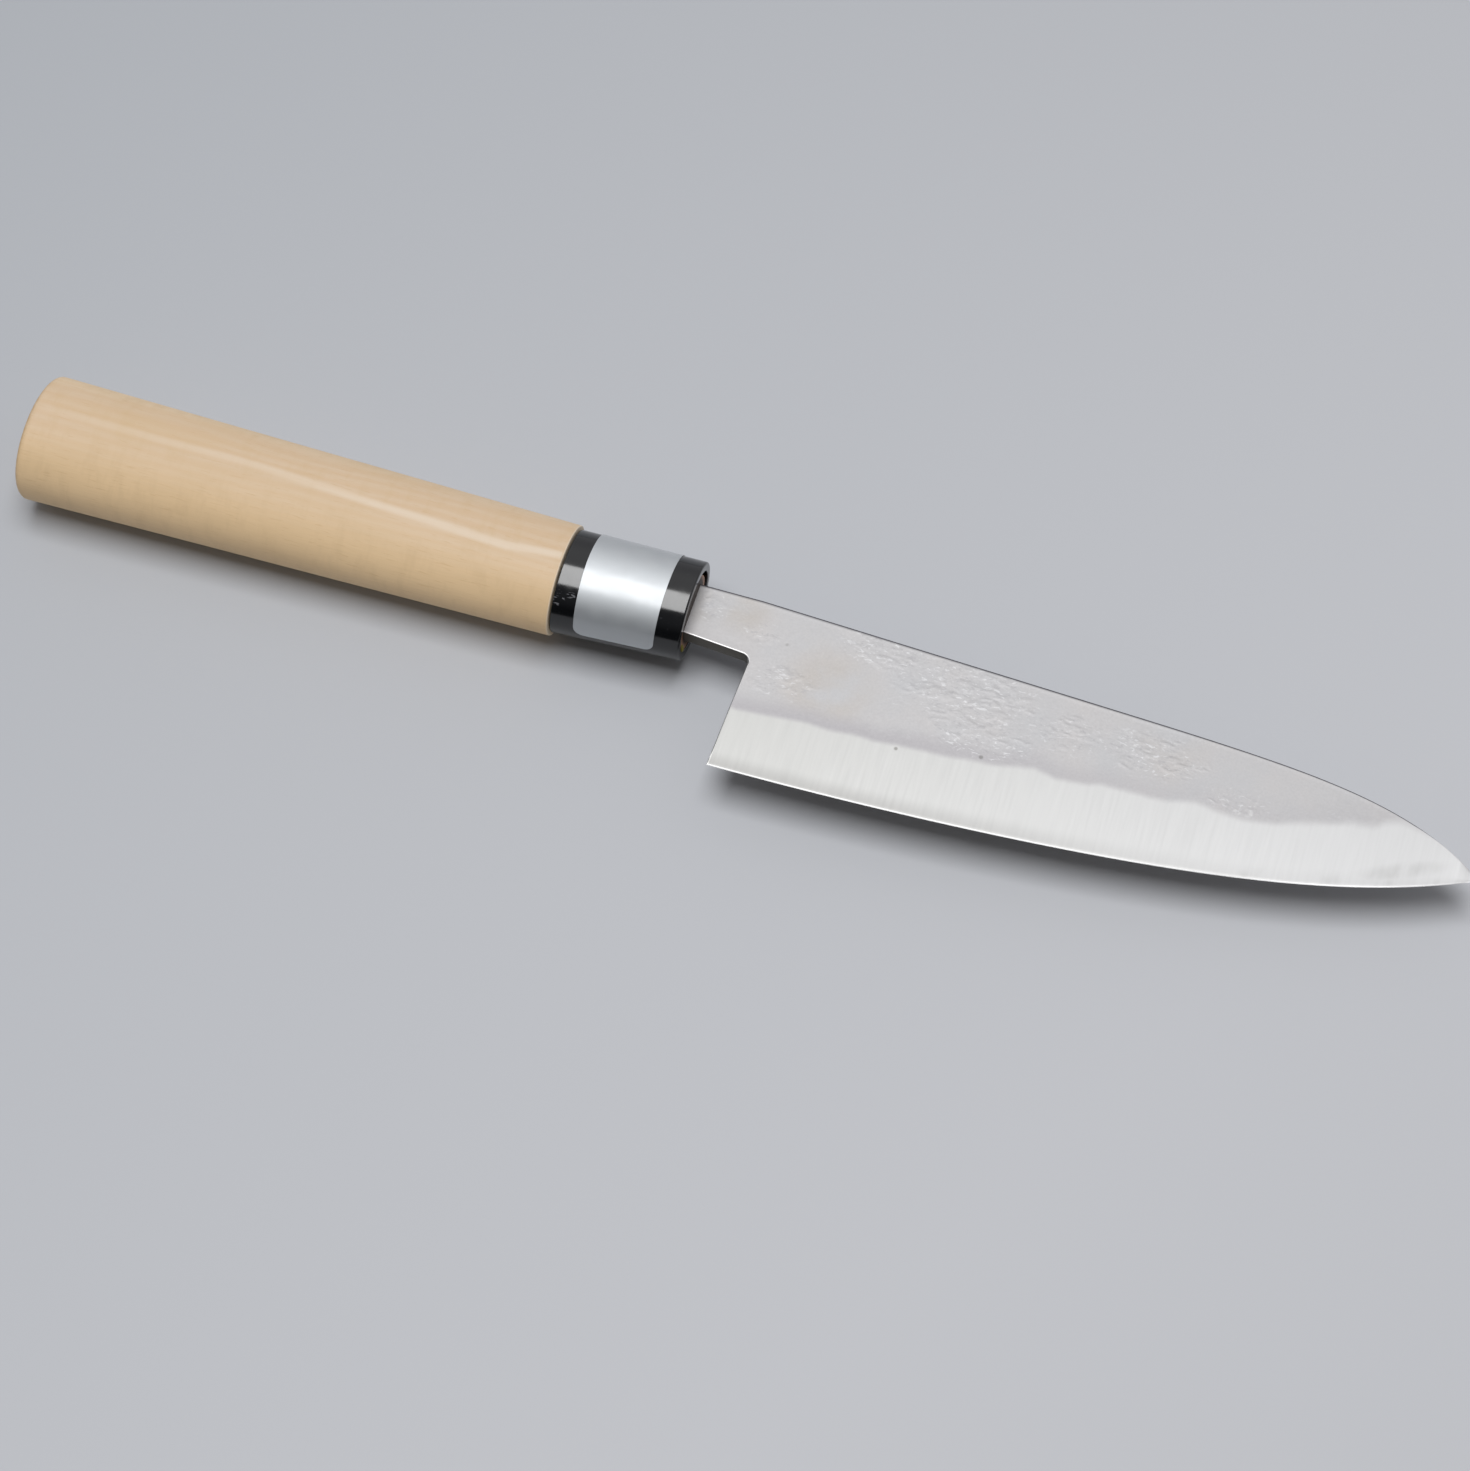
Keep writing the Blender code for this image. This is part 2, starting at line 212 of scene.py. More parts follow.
# %% Set the room
world = bpy.data.worlds.new("studio_room")
bpy.context.scene.world = world
world.use_nodes = True
tree = world.node_tree
toward = add_node(tree, "SeparateXYZ", [add_node(tree, "TexCoord").outputs["Generated"]])
far = add_node(tree, "MapRange", (toward.outputs["Y"], -0.5, 0.5), **SMOOTH)
low = add_node(tree, "MapRange", (toward.outputs["Z"], 0.45, 0.1))
overhead = add_node(tree, "MapRange", (toward.outputs["Z"], 0.3, 0.75), **SMOOTH)
near_side = add_node(tree, "Mix", (low, "#6C6966", "#A39D94"), **COLOURS)
dim = add_node(tree, "Mix", (far, near_side, "#A0A0A2"), **COLOURS)
near_mirrored = add_node(tree, "Mix", (overhead, "#262729", "#66676B"), **COLOURS)
far_mirrored = add_node(tree, "Mix", (overhead, "#BCBCC0", "#E4E4E6"), **COLOURS)
mirrored = add_node(tree, "Mix", (far, near_mirrored, far_mirrored), **COLOURS)
rays = add_node(tree, "LightPath")
for_gloss = add_node(tree, "Mix", (rays.outputs["Is Glossy Ray"], dim, mirrored), **COLOURS)
for_camera = add_node(tree, "Mix", (rays.outputs["Is Camera Ray"], for_gloss, "#BFC0C4"), **COLOURS)
feed(tree.nodes["Background"], {"Color": for_camera})
print("room set with", len(tree.nodes), "nodes")

# %% [markdown]
# ## Geometry Nodes in this notebook
#
# A Geometry Nodes tree is a recipe: it takes a mesh in, follows its steps, and gives a mesh out. We build
# each tree in the script with named inputs for its sizes. Then we run it once on a piece and keep the
# result as a plain mesh, so the finished piece needs no live modifier.

# %% Start and close a recipe
INPUT_KINDS = {"Points Round": "Int", "Material": "Material"}


def new_recipe(name, wants):
    """An empty Geometry Nodes tree, what it is given when it runs, and its end."""
    recipe = bpy.data.node_groups.new(name, "GeometryNodeTree")
    recipe.interface.new_socket("Geometry", in_out="INPUT", socket_type="NodeSocketGeometry")
    recipe.interface.new_socket("Geometry", in_out="OUTPUT", socket_type="NodeSocketGeometry")
    for label in (*wants, "Material"):
        kind = "NodeSocket" + INPUT_KINDS.get(label, "Float")
        recipe.interface.new_socket(label, in_out="INPUT", socket_type=kind)
    return recipe, add_node(recipe, "NodeGroupInput").outputs, add_node(recipe, "NodeGroupOutput")


def close_recipe(recipe, given, end, shape):
    """Every recipe ends alike: its instances become real, and it gives the mesh its material."""
    real = add_node(recipe, "GeometryNodeRealizeInstances", {"Geometry": shape})
    dressed = add_node(recipe, "GeometryNodeSetMaterial", {"Geometry": real, "Material": given["Material"]})
    feed(end, {"Geometry": dressed})
    print(recipe.name, "has", len(recipe.nodes), "nodes")


def read_marks(recipe, names):
    """Nodes that read the numbers which the points carry under these names."""
    return {name: add_node(recipe, "GeometryNodeInputNamedAttribute", {"Name": name}, data_type="FLOAT")
            for name in names}


def leave_mark(recipe, shape, name, value):
    """A step that writes one number on every point."""
    return add_node(recipe, "GeometryNodeStoreNamedAttribute",
                    {"Geometry": shape, "Name": name, "Value": value}, data_type="FLOAT", domain="POINT")


print("inputs are numbers, apart from", list(INPUT_KINDS))

# %% Make a piece and run a recipe on it
def keep_result(piece, modifier):
    """Swap a piece's mesh for what its modifier makes of it, and take the modifier off."""
    graph = bpy.context.evaluated_depsgraph_get()
    plain = bpy.data.meshes.new_from_object(
        piece.evaluated_get(graph), preserve_all_data_layers=True, depsgraph=graph)
    piece.modifiers.remove(modifier)
    piece.data = plain


def follow(recipe, piece, values):
    """Run a recipe on a piece with its inputs set, and keep what comes out."""
    live = piece.modifiers.new(recipe.name, "NODES")
    live.node_group = recipe
    for item in recipe.interface.items_tree:
        if item.in_out == "INPUT" and item.name in values:
            live[item.identifier] = values[item.name]
    keep_result(piece, live)


def new_piece(name, points, edges=(), faces=()):
    """An object from points, and the edges or faces between them."""
    mesh = bpy.data.meshes.new(name)
    mesh.from_pydata([tuple(point) for point in points], list(edges), list(faces))
    piece = bpy.data.objects.new(name, mesh)
    bpy.context.scene.collection.objects.link(piece)
    return piece


def mark(piece, name, values):
    """Write one number on every point of a piece, for a recipe or a material to read."""
    layer = piece.data.attributes.new(name, "FLOAT", "POINT")
    layer.data.foreach_set("value", np.asarray(values, np.float32))


# %% [markdown]
# Every piece is finished alike. Its faces are pointed outwards, it is shaded smooth between its real
# edges and moved to the datum, and it takes the place of its CAD node.

# %% Settle a piece and join it to the knife
def settle(piece, sharp_angle=40.0):
    """Point the faces outwards, shade the piece smooth between its real edges, and put it on the datum."""
    form = bmesh.new()
    form.from_mesh(piece.data)
    bmesh.ops.remove_doubles(form, verts=form.verts[:], dist=0.001 * MM)
    bmesh.ops.recalc_face_normals(form, faces=form.faces[:])
    form.to_mesh(piece.data)
    form.free()
    piece.data.shade_smooth()
    piece.data.set_sharp_from_angle(angle=math.radians(sharp_angle))
    piece.data.transform(Matrix.Translation(datum))
    print(piece.name, "has", sum(len(face.vertices) - 2 for face in piece.data.polygons), "triangles")


def join_knife(piece, node):
    """Let a finished piece stand for its CAD node and ride with the knife."""
    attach(piece, "root")
    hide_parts(node)


print("pieces to dress:", sorted(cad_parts))

# %% [markdown]
# ## The oval lathe
#
# Grip and ferrule follow one rule: an oval whose height and thickness change evenly along the knife. A
# maker would turn or mould such a piece round its own axis. Our recipe does the same: it takes half of
# the piece's outline, carries it once round a circle, and presses the circle into the oval that belongs
# to each place. Each point of the outline carries how far it lies in from the oval's surface.

# %% Spin the outline
lathe, given, end = new_recipe("oval_lathe", (
    "Points Round", "Rear X", "Front X", "Rear Height", "Front Height", "Rear Thickness", "Front Thickness",
    "Rear Drop", "Front Drop", "Hand Waver", "Seed"))
outline = add_node(lathe, "GeometryNodeMeshToCurve", {"Mesh": given["Geometry"]})
circle = add_node(lathe, "GeometryNodeCurvePrimitiveCircle", {"Resolution": given["Points Round"]})
step = add_node(lathe, "DIVIDE", (2 * math.pi, given["Points Round"]))
turn = add_node(lathe, "MULTIPLY", (add_node(lathe, "GeometryNodeInputIndex"), step))
counted = leave_mark(lathe, circle, "turn", turn)
spun = add_node(lathe, "GeometryNodeCurveToMesh", {"Curve": counted, "Profile Curve": outline})
on_point = read_marks(lathe, ("turn", "along", "inset_high", "inset_thick", "share", "crest", "lift"))
print("points carry", list(on_point))

# %% Press it into the oval
sizes = {label: add_node(lathe, "MapRange", (on_point["along"], given["Rear X"], given["Front X"],
                                             given["Rear " + label], given["Front " + label]), clamp=False)
         for label in ("Height", "Thickness", "Drop")}
reach = {}
for label, inset, wave in (("Height", "inset_high", "SINE"), ("Thickness", "inset_thick", "COSINE")):
    half = add_node(lathe, "MULTIPLY", (sizes[label], 0.5))
    inner = add_node(lathe, "SUBTRACT", (half, on_point[inset]))
    scaled = add_node(lathe, "MULTIPLY", (inner, on_point["share"]))
    swing = add_node(lathe, wave, [on_point["turn"]])
    reach[label] = add_node(lathe, "MULTIPLY", (scaled, swing))
round_trip = add_node(lathe, "CombineXYZ", (
    add_node(lathe, "MULTIPLY", (on_point["along"], waves(45))),
    add_node(lathe, "SINE", [on_point["turn"]]),
    add_node(lathe, "COSINE", [on_point["turn"]])))
hand = seeded_noise(lathe, round_trip, given["Seed"], 1.6, Detail=1.0)
shrink = add_node(lathe, "MULTIPLY", (hand, given["Hand Waver"]))
keep = add_node(lathe, "SUBTRACT", (1.0, shrink))
high = add_node(lathe, "MULTIPLY_ADD", (reach["Height"], keep, sizes["Drop"]))
thick = add_node(lathe, "MULTIPLY", (reach["Thickness"], keep))
print("the oval changes in", list(sizes))

# %% Raise the sanded crest and close the lathe recipe
past_crest = add_node(lathe, "SUBTRACT", (high, on_point["crest"]))
crest = add_node(lathe, "MapRange", (past_crest, -0.55 * MM, 0.0), **SMOOTH)
for part in (add_node(lathe, "MapRange", (past_crest, 5.0 * MM, 0.0), **SMOOTH),
             add_node(lathe, "GREATER_THAN", (thick, 0.0))):
    crest = add_node(lathe, "MULTIPLY", (crest, part))
crested = add_node(lathe, "MULTIPLY_ADD", (crest, on_point["lift"], thick))
oval_place = add_node(lathe, "CombineXYZ", (on_point["along"], high, crested))
pressed = add_node(lathe, "GeometryNodeSetPosition", {"Geometry": spun, "Position": oval_place})
welded = add_node(lathe, "GeometryNodeMergeByDistance", {"Geometry": pressed, "Distance": 0.002 * MM})
close_recipe(lathe, given, end, welded)

# %% [markdown]
# ## The wooden grip
#
# The grip is magnolia, a pale, even wood that stays kind to a wet hand. It is shaped on a belt, sanded
# and left bare, so its butt has a soft rim, its shoulder a small ease, and its upper face a faint crest
# where two strokes of the belt met. Its front end is turned down to a tenon that fills the ferrule. It
# could be a box that is subdivided until it is round, but a spun outline keeps the oval exact. The outline
# below starts at the middle of the butt and ends at the middle of the tenon's face.

# %% Sizes that grip and ferrule share
HANDLE_LENGTH = 126.0 * MM
FERRULE_LENGTH = 23.9 * MM
BUTT = (24.5 * MM, 20.4 * MM)
SHOULDER = (21.5 * MM, 17.6 * MM)
SHOULDER_DROP = 0.7 * MM
FERRULE_REAR = (20.1 * MM, 16.2 * MM)
FERRULE_FRONT = (19.1 * MM, 15.6 * MM)
WALL = 1.6 * MM
CREST_X = np.array([-126.0, -122.0, -83.0, -55.0, -34.5, -24.3]) * MM
CREST_Y = np.array([0.0, 0.1, 0.3, -1.1, -1.9, -0.9]) * MM
CREST_LIFT = np.array([0.0, 0.01, 0.025, 0.04, 0.045, 0.04]) * MM


def between(rear, front, share):
    """Height and thickness part of the way from one oval to another."""
    return [a + (b - a) * share for a, b in zip(rear, front)]


def rim(depth, inset, steps=8):
    """A rounded rim, from the flat face to the side: pairs of depth and inset."""
    angles = [0.5 * math.pi * i / steps for i in range(steps + 1)]
    return [(depth * (1 - math.cos(angle)), inset * (1 - math.sin(angle))) for angle in angles]


def spin(name, outline, closed, values):
    """Spin an outline of (x, inset in height, inset in thickness, share of the radius) into a piece."""
    count = len(outline)
    edges = [(i, i + 1) for i in range(count - 1)] + ([(count - 1, 0)] if closed else [])
    piece = new_piece(name, [(i * MM, 0, 0) for i in range(count)], edges)
    for label, column in zip(("along", "inset_high", "inset_thick", "share"), zip(*outline)):
        mark(piece, label, column)
    along = np.array([point[0] for point in outline])
    mark(piece, "crest", np.interp(along, CREST_X, CREST_Y))
    mark(piece, "lift", np.interp(along, CREST_X, CREST_LIFT, right=0.0))
    follow(lathe, piece, values)
    settle(piece)
    return piece


print("handle is", round(HANDLE_LENGTH / MM), "mm long with its ferrule")

# %% Draw the grip's outline
BUTT_RIM = (1.4 * MM, 2.0 * MM)
SHOULDER_EASE = 0.25 * MM
TENON_RECESS = 0.3 * MM
TENON_GAP = 0.12 * MM
grip_outline = [(-HANDLE_LENGTH, BUTT_RIM[1], BUTT_RIM[1], share) for share in (0.0, 0.25, 0.5, 0.75)]
grip_outline += [(-HANDLE_LENGTH + depth, inset, inset, 1.0) for depth, inset in rim(*BUTT_RIM)]
side_start, side_end = -HANDLE_LENGTH + BUTT_RIM[0], -FERRULE_LENGTH - SHOULDER_EASE
grip_outline += [(side_start + (side_end - side_start) * share, 0.0, 0.0, 1.0)
                 for share in (0.002, *[i / 60 for i in range(1, 60)], 0.998)]
grip_outline += [(-FERRULE_LENGTH - depth, inset, inset, 1.0)
                 for depth, inset in reversed(rim(SHOULDER_EASE, SHOULDER_EASE, 4))]
for x in (-FERRULE_LENGTH, -TENON_RECESS):
    grip_size = between(BUTT, SHOULDER, (x + HANDLE_LENGTH) / (HANDLE_LENGTH - FERRULE_LENGTH))
    ferrule_size = between(FERRULE_FRONT, FERRULE_REAR, -x / FERRULE_LENGTH)
    insets = [(grip_size[i] - ferrule_size[i]) / 2 + WALL + TENON_GAP for i in (0, 1)]
    grip_outline.append((x, *insets, 1.0))
grip_outline += [(-TENON_RECESS, *insets, share) for share in (0.75, 0.5, 0.25, 0.0)]
print("grip outline has", len(grip_outline), "points")

# %% [markdown]
# ### Magnolia wood
#
# A flat picture of wood could be wrapped round the grip, but it would have a seam and a false butt. Real
# wood is solid, so its pattern is made in solid space too: growth layers are wide cylinders round a pith
# that lies far outside the grip. Where the grip's surface cuts them they show as faint straight lines,
# and on the butt as arcs. Both flanks carry painted light: they are lighter and a little yellower than the
# middle. Over that lie four noises that are stretched along the grain: fine fibres, short darker flecks,
# ripple across the grain and broad clouds. Growth layers are 1.6 mm apart. Real fibres are 0.03 mm wide,
# which is too fine to show, so they are drawn 0.3 mm wide.

# %% Mix the wood
LAYER = 1.6 * MM
wood, tree, shader, place = new_material("sanded_magnolia_wood", {"Specular IOR Level": 0.3})
axis = add_node(tree, "Mapping", {"Vector": place, "Location": tuple(datum)}, vector_type="TEXTURE")
warp = stretched_noise(tree, axis, (55, 11.1, 11.1), Detail=3.0)
bent = add_node(tree, "VectorMath", (warp.outputs["Color"], (0, 5.0 * MM, 5.0 * MM), axis),
                operation="MULTIPLY_ADD")
off_pith = add_node(tree, "VectorMath", (bent, (0, 1, 1), (0, 38 * MM, 21 * MM)), operation="MULTIPLY_ADD")
from_pith = add_node(tree, "VectorMath", [off_pith], operation="LENGTH")
layers = add_node(tree, "PINGPONG", (from_pith, LAYER / 2))
layer_tone = add_node(tree, "MapRange", (layers, 0.0, LAYER / 2), **SMOOTH)
tone = add_node(tree, "Mix", (layer_tone, "#D3BCA1", "#D1B799"), **COLOURS)
wood_at = add_node(tree, "SeparateXYZ", [axis]).outputs
# Painted light: both flanks are lighter and a little yellower than the middle.
for inside, outside, colour in ((-1, -11, "#E2C59C"), (5, 12, "#E8D0AE")):
    flank_painted_light = add_node(tree, "MapRange", (wood_at["Y"], inside * MM, outside * MM), **SMOOTH)
    tone = add_node(tree, "Mix", (flank_painted_light, tone, colour), **COLOURS)
STREAKS = (((9, 0.3, 0.3), 3.0, 0.38, 0.75, 0.22, "#CBB18D"),
           ((3, 0.256, 0.256), 1.0, 0.62, 0.74, 0.3, "#C2A074"),
           ((2.4, 5.9, 5.9), 3.0, 0.48, 0.72, 0.3, "#C9AD86"),
           ((38, 11.1, 11.1), 2.0, 0.42, 0.7, 0.4, "#CDB28C"))
patterns = []
for sizes_in_mm, detail, none, full, most, dark in STREAKS:
    patterns.append(stretched_noise(tree, axis, sizes_in_mm, Detail=detail, Roughness=0.6))
    amount = add_node(tree, "MapRange", (patterns[-1], none, full, 0.0, most))
    tone = add_node(tree, "Mix", (amount, tone, dark), **COLOURS)
print("wood has", len(STREAKS), "streak patterns")

# %% [markdown]
# The ends of the wood differ from its sides. The butt shows end grain with its arcs, the shoulder's rim
# carries a pale painted highlight, and the tenon's face is brown and turns dark round the tang with
# painted shade inside the ferrule's mouth. The sanded crest carries a thin painted highlight.

# %% Stain the ends of the wood
crest_at, crest_lift = [add_node(tree, "Attribute", attribute_name=name).outputs["Fac"]
                        for name in ("crest", "lift")]
off_crest = add_node(tree, "SUBTRACT", (wood_at["Y"], crest_at))
from_crest = add_node(tree, "ABSOLUTE", [off_crest])
# Painted highlight: a thin pale streak along the sanded crest.
streak = add_node(tree, "MapRange", (from_crest, 1.4 * MM, 0.1 * MM), interpolation_type="SMOOTHERSTEP")
for part in (crest_lift, add_node(tree, "GREATER_THAN", (wood_at["Z"], 0.0))):
    streak = add_node(tree, "MULTIPLY", (streak, part))
streak = add_node(tree, "DIVIDE", (streak, 0.1 * MM), use_clamp=True)
end_grain = add_node(tree, "MapRange", (wood_at["X"], -124.9 * MM, -125.9 * MM), **SMOOTH)
arcs = end_grain
for part in (layer_tone, 0.4):
    arcs = add_node(tree, "MULTIPLY", (arcs, part))
# Painted highlight: the shoulder's rim is coloured pale.
shoulder_rim_highlight = add_node(tree, "MapRange", (
    wood_at["X"], -FERRULE_LENGTH - SHOULDER_EASE, -FERRULE_LENGTH - 0.1 * MM, 0.0, 0.55))
front_face = add_node(tree, "MapRange", (wood_at["X"], -1.2 * MM, -0.8 * MM))
oblong = add_node(tree, "Mapping", {"Vector": axis, "Scale": (0.0, 1 / (6.4 * MM), 1 / (7.0 * MM))})
from_tang = add_node(tree, "VectorMath", [oblong], operation="LENGTH")
# Painted shade: the tenon's face turns dark brown round the tang, inside the ferrule's mouth.
tang_mouth_shade = add_node(tree, "MapRange", (from_tang, 1.06, 0.86), **SMOOTH)
end_grain_and_mouth_shade = add_node(tree, "Mix", (tang_mouth_shade, "#C49A80", "#33261C"), **COLOURS)
for amount, colour in ((streak, "#E8DDCE"), (end_grain, "#CFAF80"), (arcs, "#A98555"),
                       (shoulder_rim_highlight, "#F2E6D2"), (front_face, end_grain_and_mouth_shade)):
    tone = add_node(tree, "Mix", (amount, tone, colour), **COLOURS)
sheen = add_node(tree, "MapRange", (patterns[0], 0.0, 1.0, 0.44, 0.58))
relief = add_node(tree, "Bump", {"Height": patterns[0], "Distance": 0.02 * MM, "Strength": 0.5})
feed(shader, {"Base Color": tone, "Roughness": sheen, "Normal": relief})
print("wood mixed with", len(tree.nodes), "nodes")

# %% Spin the grip
grip = spin("grip", grip_outline, False, {
    "Points Round": 320, "Rear X": -HANDLE_LENGTH, "Front X": -FERRULE_LENGTH,
    "Rear Height": BUTT[0], "Front Height": SHOULDER[0], "Rear Thickness": BUTT[1],
    "Front Thickness": SHOULDER[1], "Rear Drop": 0.0, "Front Drop": -SHOULDER_DROP,
    "Hand Waver": 0.006, "Seed": 3.0, "Material": wood})
join_knife(grip, "handle")

# %% [markdown]
# ## The black ferrule
#
# The ferrule is a moulded black plastic sleeve, polished to a gloss. Its outline is a closed loop: up the
# outside, over an eased front rim, and back down the bore. A Bevel modifier could ease the rims, but an
# outline can simply be drawn with them. Black gloss plastic shows almost no colour of its own. What the
# eye sees is the room in it, so a low roughness and a plain IOR do nearly all the work. A few hair-fine
# scuffs turn the black grey, most of all at two places beside the shoulder.

# %% Mix the plastic
def near_point(tree, place, middle, outer, inner, most, **settings):
    """How much a point belongs to a round spot: nothing beyond outer, and the most within inner."""
    away = add_node(tree, "VectorMath", (place, middle), operation="DISTANCE")
    return add_node(tree, "MapRange", (away, outer, inner, 0.0, most), **settings)


SCUFFS = ((-23.2, -7.8, 5.7, 1.9), (-20.6, -7.0, 6.2, 0.9))
plastic, tree, shader, place = new_material("polished_black_plastic", {"IOR": 1.61})
handled = add_node(tree, "TexNoise", {"Vector": place, "Scale": waves(2.4), "Detail": 4.0})
gloss = add_node(tree, "MapRange", (handled, 0.4, 0.75, 0.12, 0.19))
hairs = stretched_noise(tree, place, (1.11, 0.42, 0.42), Detail=3.0, Distortion=0.8)
scuff = add_node(tree, "MapRange", (hairs, 0.68, 0.74))
black = add_node(tree, "Mix", (scuff, "#0A0B0D", "#26272A"), **COLOURS)
for x, y, z, radius in SCUFFS:
    middle = (datum.x + x * MM, datum.y + y * MM, datum.z + z * MM)
    knocked = near_point(tree, place, middle, radius * MM, 0.0, 0.2)
    grazed = add_node(tree, "ADD", (hairs, knocked))
    grazed = add_node(tree, "MapRange", (grazed, 0.66, 0.72))
    within = add_node(tree, "GREATER_THAN", (knocked, 0.0))
    grazed = add_node(tree, "MULTIPLY", (grazed, within))
    black = add_node(tree, "Mix", (grazed, black, "#66676B"), **COLOURS)
feed(shader, {"Base Color": black, "Roughness": gloss})
print("plastic mixed, scuffs:", len(SCUFFS))

# %% Spin the ferrule
FERRULE_EASE = 0.35 * MM
BORE_EASE = 0.15 * MM
FERRULE_GAP = 0.3 * MM
ferrule_back = -FERRULE_LENGTH + FERRULE_GAP
ferrule_outline = [(ferrule_back + depth, inset, inset, 1.0) for depth, inset in rim(0.08 * MM, 0.08 * MM, 3)]
ferrule_outline += [(ferrule_back + (-FERRULE_EASE - ferrule_back) * share, 0.0, 0.0, 1.0)
                    for share in (0.01, *[i / 16 for i in range(1, 16)], 0.99)]
ferrule_outline += [(-depth, inset, inset, 1.0) for depth, inset in reversed(rim(FERRULE_EASE, FERRULE_EASE))]
ferrule_outline += [(-depth, WALL - inset, WALL - inset, 1.0)
                    for depth, inset in rim(BORE_EASE, BORE_EASE, 4)]
ferrule_outline += [(ferrule_back, WALL, WALL, 1.0)]
ferrule = spin("black_ferrule", ferrule_outline, True, {
    "Points Round": 160, "Rear X": -FERRULE_LENGTH, "Front X": 0.0,
    "Rear Height": FERRULE_REAR[0], "Front Height": FERRULE_FRONT[0], "Rear Thickness": FERRULE_REAR[1],
    "Front Thickness": FERRULE_FRONT[1], "Rear Drop": -SHOULDER_DROP, "Front Drop": 0.0,
    "Hand Waver": 0.0, "Seed": 1.0, "Material": plastic})
join_knife(ferrule, "ferrule")

# %% [markdown]
# ## The foil label
#
# A plain silver foil sticker lies round the ferrule's right side. It is cut flat with rounded corners,
# and its rear edge slants by half a millimetre. Then it is rolled on. We do the same: a flat grid is
# drawn, and a recipe wraps it by walking the right distance along the ferrule's oval. A Shrinkwrap modifier
# could lay it on too, but it would stretch the foil. A Solidify modifier gives the foil its thickness.

# %% Cut the flat label
LABEL_WIDTH = 15.1 * MM
LABEL_FROM_FRONT = 4.6 * MM
LABEL_WRAP = 28.4 * MM
LABEL_CORNER = 1.9 * MM
LABEL_SLANT = 0.5 * MM


def flat_label(columns=24, rows=90):
    """A flat grid with rounded corners: X along the knife, Y round the ferrule from its top line."""
    half = LABEL_WRAP / 2
    straight = half - LABEL_CORNER
    corner = [(-half + depth, inset) for depth, inset in rim(LABEL_CORNER, LABEL_CORNER, 10)]
    steps = corner + [(-straight + 2 * straight * i / rows, 0.0) for i in range(1, rows)]
    steps += [(-distance, inset) for distance, inset in reversed(corner)]
    points = []
    for distance, inset in steps:
        rear, front = -LABEL_FROM_FRONT - LABEL_WIDTH + inset, -LABEL_FROM_FRONT - inset
        rear += LABEL_SLANT * max(0.0, -distance / half)
        points += [(rear + (front - rear) * i / columns, distance, 0.0) for i in range(columns + 1)]
    wide = columns + 1
    faces = [(r * wide + c, r * wide + c + 1, (r + 1) * wide + c + 1, (r + 1) * wide + c)
             for r in range(len(steps) - 1) for c in range(columns)]
    return points, faces


label_points, label_faces = flat_label()
print("flat label has", len(label_faces), "faces")

# %% Write the wrapping recipe
wrap, given, end = new_recipe("wrap_round_oval", (
    "Height", "Thickness", "Taper", "Middle X", "Middle Drop", "Drop Slope", "Lift", "Wrinkle"))
here = add_node(wrap, "GeometryNodeInputPosition")
at = add_node(wrap, "SeparateXYZ", [here]).outputs
half_high, half_thick = [add_node(wrap, "MULTIPLY", (given[name], 0.5)) for name in ("Height", "Thickness")]
pressed = add_node(wrap, "CombineXYZ", {
    "Y": add_node(wrap, "MULTIPLY", (at["Y"], half_high)),
    "Z": add_node(wrap, "MULTIPLY", (at["X"], half_thick))})
ring = add_node(wrap, "GeometryNodeCurvePrimitiveCircle", {"Resolution": 720})
oval = add_node(wrap, "GeometryNodeSetPosition", {"Geometry": ring, "Position": pressed})
girth = add_node(wrap, "GeometryNodeCurveLength", {"Curve": oval})
walked = add_node(wrap, "FLOORED_MODULO", (at["Y"], girth))
found = add_node(wrap, "GeometryNodeSampleCurve", {"Curves": oval, "Length": walked},
                 mode="LENGTH", use_all_curves=True).outputs["Position"]
beyond = add_node(wrap, "SUBTRACT", (at["X"], given["Middle X"]))
wider = add_node(wrap, "MULTIPLY_ADD", (beyond, given["Taper"], 1.0))
tapered = add_node(wrap, "VectorMath", (found, wider), operation="SCALE")
drop = add_node(wrap, "MULTIPLY_ADD", (beyond, given["Drop Slope"], given["Middle Drop"]))
shifted = add_node(wrap, "CombineXYZ", (at["X"], drop))
placed = add_node(wrap, "VectorMath", (tapered, shifted), operation="ADD")
squares = add_node(wrap, "CombineXYZ", (
    1.0, *[add_node(wrap, "MULTIPLY", (half, half)) for half in (half_high, half_thick)]))
slope = add_node(wrap, "VectorMath", (found, squares), operation="DIVIDE")
outward = add_node(wrap, "VectorMath", [slope], operation="NORMALIZE")
creases = add_node(wrap, "TexNoise", {"Vector": here, "Scale": waves(5.9), "Detail": 1.0})
raised = add_node(wrap, "MULTIPLY_ADD", (creases, given["Wrinkle"], given["Lift"]))
lifted = add_node(wrap, "VectorMath", (outward, raised), operation="SCALE")
rolled = add_node(wrap, "VectorMath", (placed, lifted), operation="ADD")
wrapped = add_node(wrap, "GeometryNodeSetPosition", {"Geometry": given["Geometry"], "Position": rolled})
close_recipe(wrap, given, end, wrapped)

# %% [markdown]
# ### Foil
#
# The sticker is aluminium foil, rolled thin and a little uneven, under a clear film. The metal is rough
# enough to spread the lamp into a broad light band, and the film adds a second, tighter gloss over it.

# %% Mix the foil
foil, tree, shader, place = new_material("rolled_aluminium_foil", {
    "Metallic": 1.0, "Coat Weight": 1.0, "Coat Roughness": 0.25, "Coat IOR": 1.5})
uneven = add_node(tree, "TexNoise", {"Vector": place, "Scale": waves(2.6), "Detail": 3.0})
gloss = add_node(tree, "MapRange", (uneven, 0.3, 0.7, 0.62, 0.68))
silver = add_node(tree, "Mix", (uneven, "#BEC2C5", "#C4C7C9"), **COLOURS)
feed(shader, {"Base Color": silver, "Roughness": gloss})
print("foil mixed with", len(tree.nodes), "nodes")

